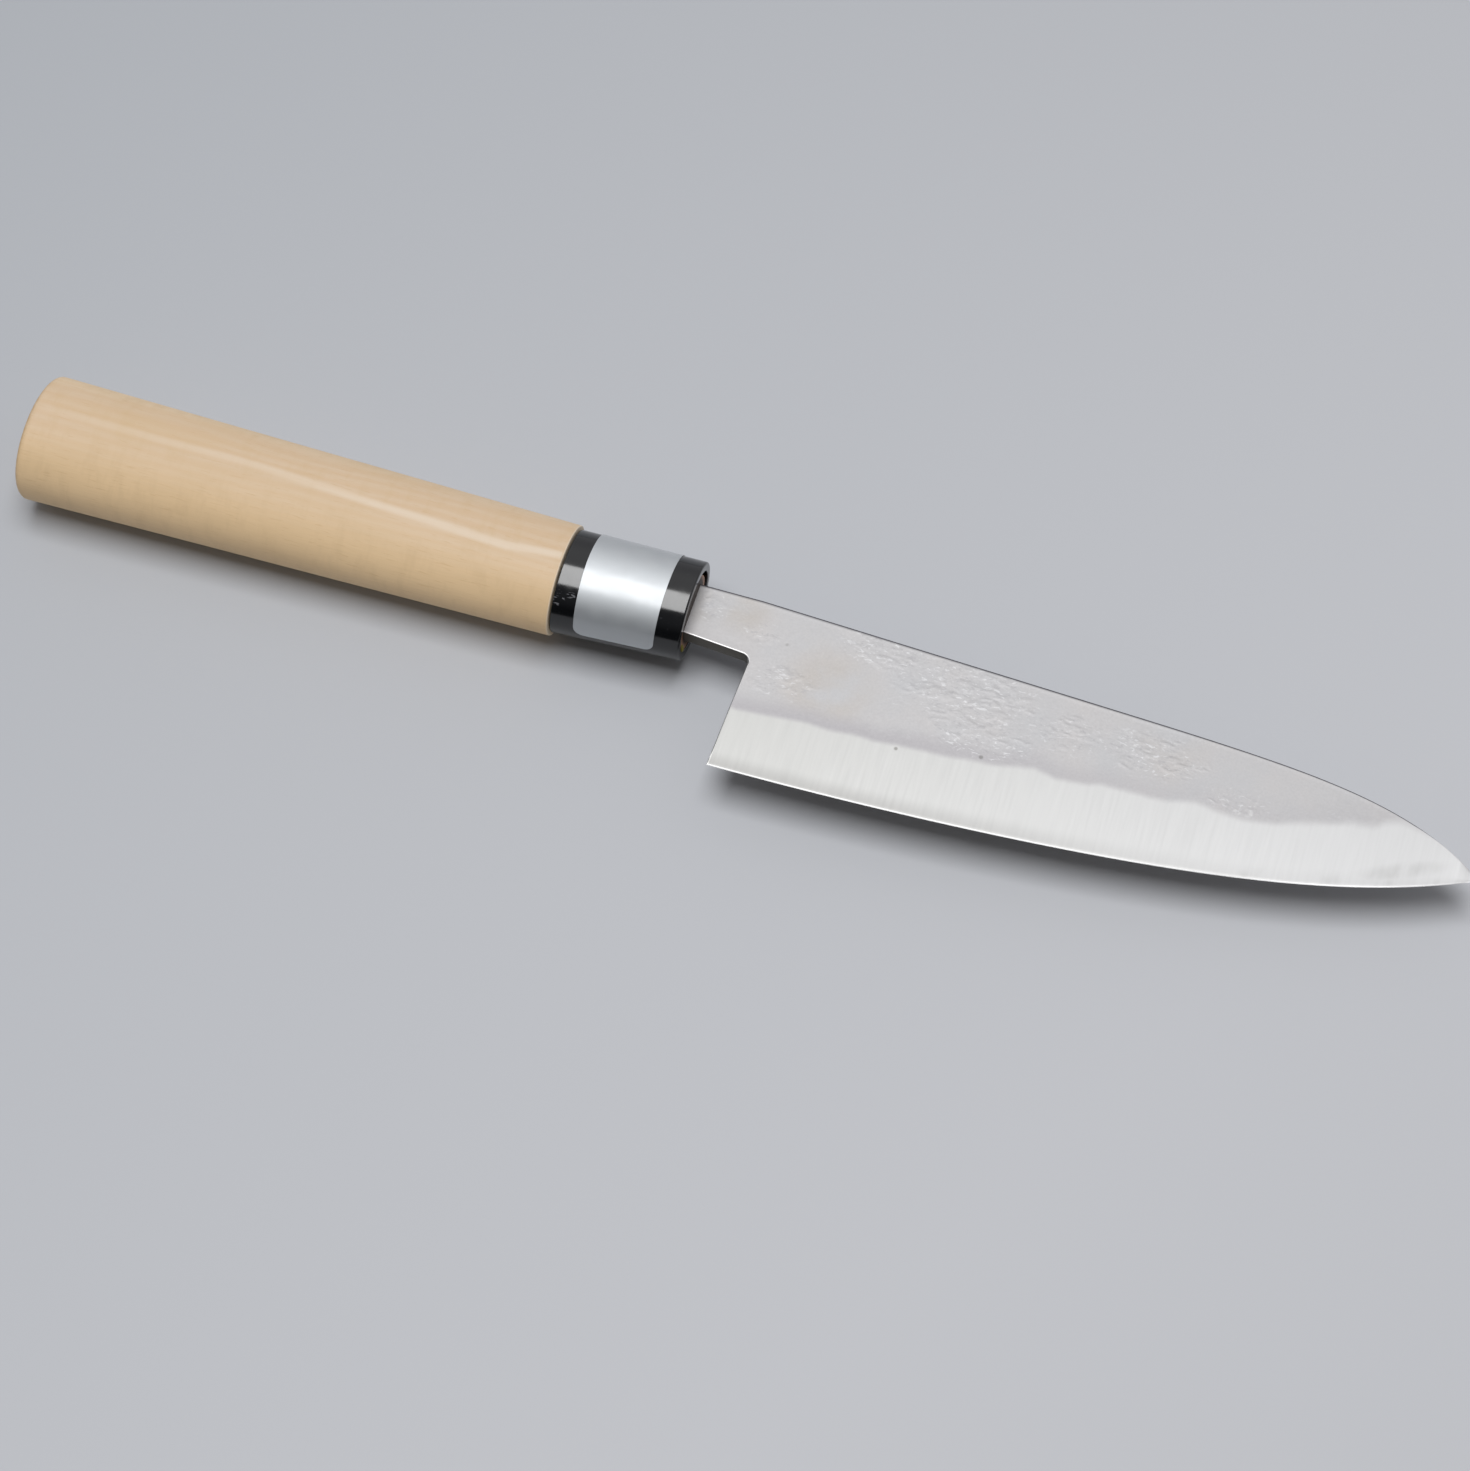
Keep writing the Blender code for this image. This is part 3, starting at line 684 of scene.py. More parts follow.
# %% Roll the label on
label_middle = -LABEL_FROM_FRONT - LABEL_WIDTH / 2
oval_size = between(FERRULE_FRONT, FERRULE_REAR, -label_middle / FERRULE_LENGTH)
label = new_piece("foil_label", label_points, faces=label_faces)
follow(wrap, label, {
    "Height": oval_size[0], "Thickness": oval_size[1], "Middle X": label_middle,
    "Taper": (FERRULE_FRONT[0] - FERRULE_REAR[0]) / FERRULE_LENGTH / oval_size[0],
    "Middle Drop": SHOULDER_DROP * label_middle / FERRULE_LENGTH,
    "Drop Slope": SHOULDER_DROP / FERRULE_LENGTH, "Lift": 0.05 * MM, "Wrinkle": 0.03 * MM, "Material": foil})
foil_sheet = label.modifiers.new("foil_sheet", "SOLIDIFY")
foil_sheet.thickness = 0.06 * MM
foil_sheet.offset = 1.0
keep_result(label, foil_sheet)
settle(label)
join_knife(label, "label")

# %% [markdown]
# ## The forged blade
#
# The smith forges the blade flat and leaves the hammered skin on its cheeks. Then the bevels are ground
# through that skin down to the edge. So the border between cheek and bevel is simply where two surfaces
# cross, and it wanders wherever the skin is uneven. A blade carved from a plate by hand would need each
# wave of that border drawn. So we build it in the smith's order: first a dense blank whose points know
# how high the cheek and the bevel are there, then a recipe that hammers the cheek and keeps the lower of
# the two surfaces.

# %% Sizes of the blade
TIP_REACH = 144.2 * MM
HEEL_REACH = 11.4 * MM
SPINE_HEIGHT = 5.0 * MM
SPINE_FALL = 5.4 * MM
SPINE_DROP_POWER = 9.2
EDGE_BELLY = 10.4 * MM
EDGE_TIP_RISE = 7.2 * MM
EDGE_TIP_POWER = 6
NECK_DEPTH = 5.5 * MM
NECK_SLOPE = 0.085
NECK_THICKNESS = 3.3 * MM
HEEL_LEAN = 0.05
HEEL_CORNER = 1.7 * MM
TANG_TOP_SLOPE = 0.035
TANG_FOOT_SLOPE = 0.045
TANG_TAPER = 0.006


def along_edge(x):
    """How far x is along the cutting edge, from 0 at the heel to 1 at the tip."""
    return np.clip((x - HEEL_REACH) / (TIP_REACH - HEEL_REACH), 0.0, 1.0)


def edge_line(x):
    """The cutting edge: a long shallow belly that lifts quickly before the tip."""
    s = along_edge(x)
    return -HEEL_DEPTH + EDGE_BELLY * s ** 2 + EDGE_TIP_RISE * s ** EDGE_TIP_POWER


def spine_line(x):
    """The spine falls gently and then drops to meet the edge. Behind the ferrule it is the tang's top."""
    s = along_edge(x)
    tip_drop = SPINE_HEIGHT - SPINE_FALL - edge_line(TIP_REACH)
    front = SPINE_HEIGHT - SPINE_FALL * s - tip_drop * s ** SPINE_DROP_POWER
    return np.where(x < 0.0, SPINE_HEIGHT + TANG_TOP_SLOPE * x, front)


def underside_line(x):
    """Underside of the neck, and of the tang behind it."""
    return -NECK_DEPTH - np.where(x < 0.0, TANG_FOOT_SLOPE, NECK_SLOPE) * x


print("blade is", round(float(spine_line(HEEL_REACH) + HEEL_DEPTH) / MM, 1), "mm deep at the heel")

# %% [markdown]
# The cheeks close slowly towards the tip and towards the edge. The bevels are much steeper, slightly
# crowned by the whetstone, and end in a narrow honed strip at the very edge. Near the tip, where little
# depth is left, half the thickness is never more than a tenth of that depth.

# %% Thickness of cheek and bevel
CHEEK_TAPER = 0.0068
CHEEK_LEAN = 0.02
THIN_TIP = 0.1
HONED_WIDTH = 0.22 * MM
HONED_HALF = 0.08 * MM
SPINE_ROUND = 0.5 * MM
BEVEL_HEIGHT = 12.5 * MM
BEVEL_CROWN = 0.03 * MM
BORDER_AT = np.array([12, 14, 20, 26, 30, 34, 38, 46, 54, 60, 66, 70, 74, 78, 86, 94, 98, 102, 110, 114,
                      118, 122, 126, 129, 131, 133, 134]) * MM
BORDER_LIFT = np.array([-0.4, -0.2, 0.45, 1.1, 0.6, 0.7, 0.5, 0.9, 1.3, 1.0, 1.7, 0.6, 0.9, 1.8, 1.6, 2.6,
                        1.4, 1.2, 0.8, 0.6, 1.5, 1.0, 1.4, 0.5, -0.7, -2.0, -1.6]) * MM


def half_at(x, y):
    """Half thickness of the forged blade at height y, thin enough for what is left of its depth."""
    taper = np.where(x < 0.0, -TANG_TAPER * x, CHEEK_TAPER * x)
    plane = NECK_THICKNESS / 2 - taper - CHEEK_LEAN * (SPINE_HEIGHT - y)
    return np.minimum(plane, THIN_TIP * (y - edge_line(x)))


def top_round(x):
    """How far below the spine's top its rounding starts, which is less where the blade is thin."""
    rounded = np.minimum(SPINE_ROUND, 0.45 * half_at(x, spine_line(x)))
    return rounded * np.interp(x, [131 * MM, 137 * MM], [1.0, 0.3])


def ridge_line(x):
    """The planned border between cheek and bevel, about 12.5 mm above the edge."""
    wander = 0.5 * MM * np.sin(2.0 * math.pi * (x / (75 * MM) - 0.6))
    wander = wander + np.interp(x, BORDER_AT, BORDER_LIFT)
    depth = spine_line(x) - edge_line(x)
    return edge_line(x) + np.minimum(BEVEL_HEIGHT + wander, depth - 1.3 * top_round(x))


print("bevel is", round(float(ridge_line(60 * MM) - edge_line(60 * MM)) / MM, 1), "mm high at 60 mm")

# %% Heights of the two surfaces
def honed_strip(x):
    """Width of the honed strip, and its half thickness where it meets the bevel."""
    width = np.minimum(HONED_WIDTH, 0.1 * (spine_line(x) - edge_line(x)))
    return width, np.minimum(HONED_HALF, 0.25 * half_at(x, ridge_line(x)))


def surfaces(x, y):
    """Cheek height, bevel height and share of the way up the bevel, for points on the blade."""
    top, ridge = spine_line(x), ridge_line(x)
    half_top, half_ridge = half_at(x, top), half_at(x, ridge)
    cheek = half_ridge + np.minimum((half_top - half_ridge) / (top - ridge), CHEEK_LEAN) * (y - ridge)
    honed, honed_half = honed_strip(x)
    up = (y - edge_line(x) - honed) / (ridge - edge_line(x) - honed)
    crown = np.minimum(BEVEL_CROWN, 0.1 * half_ridge) * 4.0 * np.clip(up * (1.0 - up), 0.0, 0.25)
    return cheek, honed_half + (half_ridge - honed_half) * up + crown, up


thickness = [round(2 * float(surfaces(x * MM, 0.0)[0]) / MM, 2) for x in (5.0, 50.0, 100.0, 130.0)]
print("cheeks are", thickness, "mm thick along the blade")

# %% [markdown]
# The cut behind the heel needs its own outline: the neck's underside, a rounded corner and the heel's
# back edge. Its upper rim is eased with a file, so the surface dips a little as it nears the cut.

# %% Trace the cut behind the heel
HEAD_OF_FIRST = 14.6 * MM
corner_x = HEEL_REACH + HEEL_LEAN * (HEEL_DEPTH - NECK_DEPTH)
way_down = Vector((-HEEL_LEAN, -1.0)).normalized()
way_back = Vector((-1.0, NECK_SLOPE)).normalized()
bisector = (way_down + way_back).normalized()
half_corner = way_down.angle(way_back) / 2
corner_centre = (Vector((corner_x, float(underside_line(corner_x))))
                 + bisector * HEEL_CORNER / math.sin(half_corner))
corner_start = corner_centre + Vector((-way_back.y, way_back.x)) * -HEEL_CORNER
corner_middle = corner_centre - bisector * HEEL_CORNER


def back_line(y):
    """X of the blade's first column at height y: the heel's back edge, the corner, then up to the spine."""
    edge = HEEL_REACH + HEEL_LEAN * (y + HEEL_DEPTH)
    dy = np.clip(y - corner_centre.y, 0.0, HEEL_CORNER)
    arc = corner_centre.x + np.sqrt(HEEL_CORNER ** 2 - dy ** 2)
    climb = (y - corner_middle.y) / (spine_line(HEAD_OF_FIRST) - corner_middle.y)
    head = corner_middle.x + (HEAD_OF_FIRST - corner_middle.x) * climb
    return np.where(y > corner_middle.y, head, np.minimum(edge, arc))


def from_cut(x, y):
    """Distance from the cut, for easing its rim."""
    out_x, out_y = x - corner_centre.x, y - corner_centre.y
    in_corner = np.hypot(out_x, out_y) - HEEL_CORNER
    beside = np.where(out_x < 0.0, y - underside_line(x), x - HEEL_REACH - HEEL_LEAN * (y + HEEL_DEPTH))
    return np.maximum(np.where((out_x > 0.0) & (out_y > 0.0), in_corner, beside), 0.0)


print("rounded corner sits at", [round(value / MM, 2) for value in corner_middle], "mm")

# %% Lay out the blade's columns and rows
BEVEL_ROWS = 30
CHEEK_ROWS = 78
SPINE_ROUNDING = [1 - math.sin(0.5 * math.pi * i / 4) for i in (1, 2, 3, 4)]
FIRST_CHEEK_ROW = 3 + BEVEL_ROWS
FIRST_SPINE_ROW = FIRST_CHEEK_ROW + CHEEK_ROWS
ROWS = FIRST_SPINE_ROW + len(SPINE_ROUNDING)
COLUMN_STEP = 0.3 * MM
TIP_STRETCH = 2.0 * MM
near = [0.0, 0.05 * MM, 0.16 * MM]
blade_length = TIP_REACH - HEEL_REACH
columns = near + list(np.arange(0.42 * MM, blade_length - TIP_STRETCH, COLUMN_STEP))
columns += [blade_length - TIP_STRETCH * (1 - i / 12) ** 1.2 for i in range(12)]
X = np.array(columns) + HEEL_REACH
fade = np.clip(1.0 - (X - HEEL_REACH) / (16 * MM), 0.0, 1.0)
fade = fade * fade * (3.0 - 2.0 * fade)


def rows_at(x, cheek_shares):
    """Heights of every row where the columns stand at x, from the edge to the top of the spine."""
    top, bottom, ridge, spine_round = spine_line(x), edge_line(x), ridge_line(x), top_round(x)
    honed = honed_strip(x)[0]
    heights = [bottom, bottom + 0.5 * honed]
    heights += [bottom + honed + (ridge - bottom - honed) * i / BEVEL_ROWS for i in range(BEVEL_ROWS + 1)]
    heights += [ridge + (top - spine_round - ridge) * cheek_shares[:, i:i + 1] for i in range(CHEEK_ROWS)]
    heights += [top - spine_round * lowered for lowered in SPINE_ROUNDING]
    return np.stack([height[:, row] for row, height in enumerate(heights)], axis=1)


print(len(X), "columns and", ROWS, "rows")

# %% [markdown]
# The first columns bend round the cut behind the heel, and further along they become straight. Each
# column's place depends on its rows' heights and the other way round, so a few rounds settle them.

# %% Bend the first columns round the cut
even = np.arange(1, CHEEK_ROWS + 1) / CHEEK_ROWS
ridge_0, top_0 = float(ridge_line(corner_middle.x)), float(spine_line(HEAD_OF_FIRST)) - SPINE_ROUND
meet = (corner_middle.y - ridge_0) / (top_0 - ridge_0)
meet_row = round(meet * CHEEK_ROWS) - 1
above = [meet] + [meet + gap / (top_0 - ridge_0) for gap in near[1:]]
rest = CHEEK_ROWS - meet_row - len(above)
cornered = np.concatenate([
    np.linspace(0.0, meet, meet_row + 2)[1:-1], above,
    above[-1] + (1.0 - above[-1]) * np.arange(1, rest + 1) / rest])
shares = even + (cornered - even) * fade[:, None]
xs = np.repeat(X[:, None], ROWS, axis=1)
for _ in range(4):
    ys = rows_at(xs, shares)
    xs = X[:, None] + fade[:, None] * (back_line(ys) - HEEL_REACH)
first_neck_row = FIRST_CHEEK_ROW + meet_row
print("the neck starts at row", first_neck_row, "of the first column")

# %% Lay out the neck and tang
TANG_COLUMNS = (-75, -68, -60, -52, -44, -36, -28, -20, -12, -7, -4)
NECK_FROM = -4.1 * MM
arc_from = math.atan2(*(corner_start - corner_centre).yx)
arc_to = math.atan2(*(corner_middle - corner_centre).yx)
feet = [(x * MM, float(underside_line(x * MM))) for x in TANG_COLUMNS]
feet += [(x, float(underside_line(x))) for x in np.arange(-3.7 * MM, corner_start.x, COLUMN_STEP)]
for share in np.linspace(0.0, 1.0, 9)[1:-1]:
    angle = arc_from + (arc_to - arc_from) * share
    feet.append((corner_centre.x + HEEL_CORNER * math.cos(angle),
                 corner_centre.y + HEEL_CORNER * math.sin(angle)))
feet = np.array(feet)
walk = np.concatenate([[0.0], np.cumsum(np.hypot(*np.diff(np.vstack([feet, corner_middle[:]]), axis=0).T))])
lean_from = int(np.argmax(feet[:, 0] > NECK_FROM))
lean = np.clip((walk - walk[lean_from]) / (walk[-1] - walk[lean_from]), 0.0, 1.0)[:-1]
heads = np.where(lean > 0, feet[lean_from, 0] + (HEAD_OF_FIRST - feet[lean_from, 0]) * lean, feet[:, 0])
climbs = (ys[0, first_neck_row:] - ys[0, first_neck_row]) / (top_0 - ys[0, first_neck_row])
neck_ys, neck_xs = [], []
for (foot_x, foot_y), head_x in zip(feet, heads):
    top = float(spine_line(np.float64(head_x)))
    y = foot_y + climbs * (top - SPINE_ROUND - foot_y)
    y[-len(SPINE_ROUNDING):] = [top - SPINE_ROUND * lowered for lowered in SPINE_ROUNDING]
    neck_ys.append(y)
    neck_xs.append(foot_x + (head_x - foot_x) * (y - foot_y) / (top - foot_y))
neck_xs, neck_ys = np.array(neck_xs), np.array(neck_ys)
print("neck and tang have", len(feet), "columns")

# %% [markdown]
# Now the layout becomes a closed mesh. The right side gets every row, because it carries the detail that
# is seen most. The left side gets every second row. Both sides share the points of the cutting edge.
# Each point is told its cheek and bevel heights, and whether it is honed, spine or near the cut.

# %% Tell each point what it is
EASE = 0.16 * MM
OUT_OF_REACH = 5 * MM
store = {key: [] for key in ("x", "y", "side", "cheek", "bevel", "reach", "rise", "honed", "spine", "cut")}


def rounded_off(dip):
    """How far a quarter round has fallen, from 0 at its start to 1 at its end."""
    return 1.0 - np.sqrt(1.0 - dip ** 2)


def side_points(xs, ys, sign, row_offset):
    """Points of one side with what the recipe has to know about each."""
    cheek, bevel, up = surfaces(xs, ys)
    top, ridge, spine_round, cut = spine_line(xs), ridge_line(xs), top_round(xs), from_cut(xs, ys)
    cheek = cheek - spine_round * rounded_off(np.clip((ys - top + spine_round) / spine_round, 0.0, 1.0))
    ease = np.minimum(EASE, 0.4 * np.minimum(cheek, np.maximum(bevel, 0.02 * MM)))
    eased = ease * rounded_off(np.clip(1.0 - cut / ease, 0.0, 1.0))
    reach = 1.0
    for room, fading in ((cut - 0.2 * MM, 1.2 * MM), (top - spine_round - ys, 0.7 * MM),
                         (top - ridge - 0.3 * MM, 1.6 * MM)):
        reach = reach * np.clip(room / fading, 0, 1)
    row = np.arange(xs.shape[1])[None, :] + row_offset + 0 * xs
    honed = row < 2.5
    honed_share = np.where(row < 0.5, 0.0, np.where(row < 1.5, 0.5, 1.0))
    bevel = np.where(honed, honed_share * honed_strip(xs)[1], bevel)
    cheek = np.where(honed, OUT_OF_REACH, cheek)
    bevel = np.where(ys > top - spine_round + 1e-7, OUT_OF_REACH, bevel)
    return {"x": xs, "y": ys, "side": np.where(row < 0.5, 0.0, sign), "cheek": cheek - eased,
            "bevel": bevel - np.where(honed, 0, eased), "reach": np.where(honed, 0, reach),
            "rise": np.where(honed, 0, np.clip(up, 0, 3)), "honed": honed * 1.0,
            "spine": np.clip((ys - top + 1.15 * spine_round) / (0.5 * spine_round), 0.0, 1.0),
            "cut": np.clip(cut / MM, 0.0, 3.0)}


def keep_points(block, rows=slice(None)):
    """Store the rows of a block of points and give back their numbers."""
    first = sum(part.size for part in store["x"])
    for key, values in block.items():
        store[key].append(np.broadcast_to(values, block["x"].shape)[:, rows].ravel())
    return first + np.arange(store["x"][-1].size).reshape(len(block["x"]), -1)


print("each point carries", list(store))

# %% Build the blank
kept_left = np.array(sorted({
    0, 1, *range(2, FIRST_CHEEK_ROW, 2), *range(FIRST_CHEEK_ROW, first_neck_row, 2),
    *range(first_neck_row, first_neck_row + 3), *range(first_neck_row + 4, FIRST_SPINE_ROW, 2),
    *range(FIRST_SPINE_ROW - 1, ROWS)}))
neck_left = kept_left[kept_left >= first_neck_row] - first_neck_row
right_body = keep_points(side_points(xs, ys, 1.0, 0))
left_body = keep_points(side_points(xs, ys, -1.0, 0), kept_left)
left_body[:, 0] = right_body[:, 0]
right_neck = keep_points(side_points(neck_xs, neck_ys, 1.0, first_neck_row))
left_neck = keep_points(side_points(neck_xs, neck_ys, -1.0, first_neck_row), neck_left)
tip_place = np.array([[TIP_REACH]])
tip_block = {**dict.fromkeys(store, 0.0), "x": tip_place, "y": edge_line(tip_place), "cheek": OUT_OF_REACH,
             "honed": 1.0, "cut": 3.0}
tip = int(keep_points(tip_block)[0, 0])
print("blank has", tip + 1, "points")

# %% Skin the blank
def grid_faces(numbers):
    """Four-sided faces between neighbouring columns and rows."""
    a, b, c, d = numbers[:-1, :-1], numbers[1:, :-1], numbers[1:, 1:], numbers[:-1, 1:]
    return np.stack([a, b, c, d], axis=-1).reshape(-1, 4).tolist()


left_joint = left_body[:1, kept_left >= first_neck_row]
top_right = np.concatenate([right_neck[:, -1], right_body[:, -1]])
top_left = np.concatenate([left_neck[:, -1], left_body[:, -1]])
foot_right = np.append(right_neck[:, 0], right_body[0, first_neck_row])
foot_left = np.append(left_neck[:, 0], left_joint[0, 0])
faces = []
for numbers in (right_body, left_body, np.vstack([right_neck, right_body[:1, first_neck_row:]]),
                np.vstack([left_neck, left_joint]), np.stack([top_right, top_left], axis=1),
                np.stack([foot_right, foot_left], axis=1)):
    faces += grid_faces(numbers)
for number, (low, high) in enumerate(zip(kept_left, kept_left[1:])):
    if high <= first_neck_row:
        faces.append([*right_body[0, low:high + 1], left_body[0, number + 1], left_body[0, number]])
for numbers in (right_body[-1], left_body[-1]):
    faces += [[a, b, tip] for a, b in zip(numbers, numbers[1:])]
faces.append([right_body[-1, -1], left_body[-1, -1], tip])
faces.append([*right_neck[0], *left_neck[0][::-1]])
faces = [[int(v) for i, v in enumerate(face) if v != face[i - 1]] for face in faces]
told = {key: np.concatenate(values) for key, values in store.items()}
half = np.minimum(told["cheek"], told["bevel"]) * told["side"]
blade = new_piece("forged_blade", np.stack([told["x"], told["y"], half], axis=1), faces=faces)
for key in ("side", "cheek", "bevel", "reach", "rise", "honed", "spine", "cut"):
    mark(blade, key, told[key])
print("blank has", len(faces), "faces")

# %% [markdown]
# ### Hammer marks and hand grinding
#
# Scale that is hammered into hot steel leaves shallow dents and raised creases between them. They lie in
# patches where the hammer fell most. The recipe makes them from stretched noise: where the noise passes
# a threshold the skin sinks, and inside a patch the threshold is lower. Creases follow the middle value
# of a second noise. Slow waves stand for the hammer's broad blows. A last noise lets the grinding waver,
# and three small round pits are where scale fell out. The two sides lie far apart in the noise, so each
# has marks of its own.

# %% Place the hammer patches
SIDE_APART = 60 * MM
HAMMER_PATCHES = ((19, -10, 7, 4, 0.75), (35, 1.5, 10, 4, 0.9), (51, -2, 14, 7, 1.0), (56, -10, 10, 5, 1.0),
                  (85, -4.5, 10, 5, 0.85), (101, -9, 7, 3, 0.6), (3, 1, 3.5, 3.5, 0.8),
                  (13, -1.5, 4, 2.5, 0.7), (120, -12, 6, 2.5, 0.25), (70, -5, 8, 5, 0.7))
forge, given, end = new_recipe("forge_and_grind", (
    "Dent Depth", "Dent Size", "Crease Height", "Crease Size", "Wave Depth", "Grind Waver", "Pit Depth",
    "Seed"))
at = add_node(forge, "SeparateXYZ", [add_node(forge, "GeometryNodeInputPosition")]).outputs
known = read_marks(forge, ("side", "cheek", "bevel", "reach", "rise"))
level = add_node(forge, "MULTIPLY", (known["side"], SIDE_APART))
flat = add_node(forge, "CombineXYZ", (at["X"], at["Y"], level))
drawn_out = add_node(forge, "VectorMath", (flat, (0.45, 1.0, 1.0)), operation="MULTIPLY")
blotches = seeded_noise(forge, flat, given["Seed"], waves(11.8), Detail=1.0)
patch = add_node(forge, "MapRange", (blotches, 0.5, 0.8, 0.0, 0.6))
for x, y, length, height, strength in HAMMER_PATCHES:
    offset = add_node(forge, "VectorMath", (flat, (x * MM, y * MM, 0)), operation="SUBTRACT")
    scaled = add_node(forge, "VectorMath", (offset, (length * MM, height * MM, 1.0)), operation="DIVIDE")
    away = add_node(forge, "VectorMath", [scaled], operation="LENGTH")
    struck = add_node(forge, "MapRange", (away, 0.5, 1.3, strength, 0.0), **SMOOTH)
    patch = add_node(forge, "MAXIMUM", (patch, struck))
print("hammer patches:", len(HAMMER_PATCHES))

# %% Add the dents and the creases to the recipe
def past_threshold(noise, bare, hammered, soft):
    """Where a noise passes a threshold, which goes from bare to hammered inside the patches."""
    threshold = add_node(forge, "MapRange", (patch, 0.0, 1.0, bare, hammered))
    full = add_node(forge, "ADD", (threshold, soft))
    return add_node(forge, "MapRange", (noise, threshold, full), **SMOOTH)


dent_scale, crease_scale = [add_node(forge, "DIVIDE", (1.0, given[name]))
                            for name in ("Dent Size", "Crease Size")]
dent_noise = seeded_noise(forge, drawn_out, given["Seed"], dent_scale,
                          Detail=3.0, Roughness=0.6, Distortion=0.4)
dent = past_threshold(dent_noise, 0.72, 0.5, 0.08)
dent_depth = add_node(forge, "MULTIPLY", (dent, given["Dent Depth"]))
crease_noise = seeded_noise(forge, drawn_out, given["Seed"], crease_scale,
                            Detail=2.0, Roughness=0.55, Distortion=0.7)
off_line = add_node(forge, "SUBTRACT", (crease_noise, 0.5))
from_line = add_node(forge, "ABSOLUTE", [off_line])
crease = add_node(forge, "MapRange", (from_line, 0.085, 0.0), **SMOOTH)
broken = seeded_noise(forge, drawn_out, 9.0, dent_scale, Detail=1.0)
for part in (past_threshold(broken, 0.74, 0.4, 0.1), given["Crease Height"]):
    crease = add_node(forge, "MULTIPLY", (crease, part))
wave_noise = seeded_noise(forge, flat, given["Seed"], waves(13.3), Detail=1.0)
sunk = add_node(forge, "MULTIPLY_ADD", (wave_noise, given["Wave Depth"], dent_depth))
sunk = add_node(forge, "SUBTRACT", (sunk, crease))
sunk = add_node(forge, "MULTIPLY", (sunk, known["reach"]))
skin = add_node(forge, "SUBTRACT", (known["cheek"], sunk))
print("dents and creases added")

# %% Add the grinding and the pits
PITS = ((18.0, -2.4, 0.32, 0.25), (42.1, -16.6, 0.34, 0.6), (56.7, -13.8, 0.42, 0.5))
upright = add_node(forge, "VectorMath", (flat, (1.0, 0.1, 1.0)), operation="MULTIPLY")
stroke = seeded_noise(forge, upright, given["Seed"], waves(16.7), Detail=4.0, Roughness=0.55)
centred = add_node(forge, "SUBTRACT", (stroke, 0.5))
waver = add_node(forge, "MULTIPLY", (centred, given["Grind Waver"]))
ground = add_node(forge, "MULTIPLY_ADD", (waver, known["rise"], known["bevel"]))
lower = add_node(forge, "MINIMUM", (skin, ground))
for x, y, radius, stain in PITS:
    middle = (x * MM, y * MM, SIDE_APART)
    hole = near_point(forge, flat, middle, radius * MM, 0.0, given["Pit Depth"], **SMOOTH)
    lower = add_node(forge, "SUBTRACT", (lower, hole))
height = add_node(forge, "MULTIPLY", (lower, known["side"]))
gap = add_node(forge, "SUBTRACT", (ground, skin))
gap_in_mm = add_node(forge, "DIVIDE", (gap, MM))
marked = given["Geometry"]
for name, value in (("gap", gap_in_mm), ("hammered", patch)):
    marked = leave_mark(forge, marked, name, value)
formed = add_node(forge, "GeometryNodeSetPosition", {
    "Geometry": marked, "Position": add_node(forge, "CombineXYZ", (at["X"], at["Y"], height))})
close_recipe(forge, given, end, formed)

# %% [markdown]
# ### Forged steel
#
# One material covers the whole blade, because it is one piece of steel. Two materials given to faces
# would meet in a jagged line. The recipe left a number on every point instead: how far the ground surface
# lies above the forged skin. Below zero the steel is ground, and just above zero it is burnished smooth.
# Cheeks are satin, with painted highlights on flakes and painted shade in hollows where they were hammered.
# Bevels are brighter with fine marks across the edge, and painted lighter towards the tip. The honed strip
# is a thin bright line, and the spine's rounded top carries a painted dark reflection. Whetstone scratches
# are 0.02 mm wide, which is too fine to show, so they are drawn 0.5 mm wide.

# %% Find the worked parts of the steel
steel, tree, shader, place = new_material("forged_and_ground_steel", {"Metallic": 1.0})
axis = add_node(tree, "Mapping", {"Vector": place, "Location": tuple(datum)}, vector_type="TEXTURE")
along = add_node(tree, "SeparateXYZ", [axis]).outputs["X"]
seen = {name: add_node(tree, "Attribute", attribute_name=name).outputs["Fac"]
        for name in ("gap", "hammered", "rise", "cut", "honed", "spine")}
crisper = add_node(tree, "MapRange", (along, 20 * MM, 130 * MM, 1.0, 2.6))
seen["gap"] = add_node(tree, "MULTIPLY", (seen["gap"], crisper))
where = {"spine": seen["spine"]}
for name, source, none, full in (
        ("ground", "gap", 0.03, -0.04), ("burnished", "gap", 0.28, 0.03), ("honed", "honed", 0.8, 1.0),
        ("cut", "cut", 0.03, 0.01), ("filed", "cut", 0.3, 0.2), ("low", "rise", 0.26, 0.02)):
    where[name] = add_node(tree, "MapRange", (seen[source], none, full), **SMOOTH)
for name, first, last, least in (("burnished", 45, 95, 0.25), ("spine", 132, 138, 0.0)):
    share = add_node(tree, "MapRange", (along, first * MM, last * MM, 1.0, least))
    where[name] = add_node(tree, "MULTIPLY", (where[name], share))
clouds = add_node(tree, "TexNoise", {"Vector": axis, "Scale": waves(8.3), "Detail": 3.0})
grain = add_node(tree, "TexNoise", {"Vector": axis, "Scale": waves(0.38), "Detail": 2.0})
scratches = stretched_noise(tree, axis, (0.53, 11.1, 11.1), Detail=3.0)
smudges = stretched_noise(tree, axis, (3.8, 7.7, 7.7), Detail=3.0)
flakes = stretched_noise(tree, axis, (1.33, 0.59, 0.59), Detail=2.0, Distortion=1.1)
print("steel reads", list(seen))
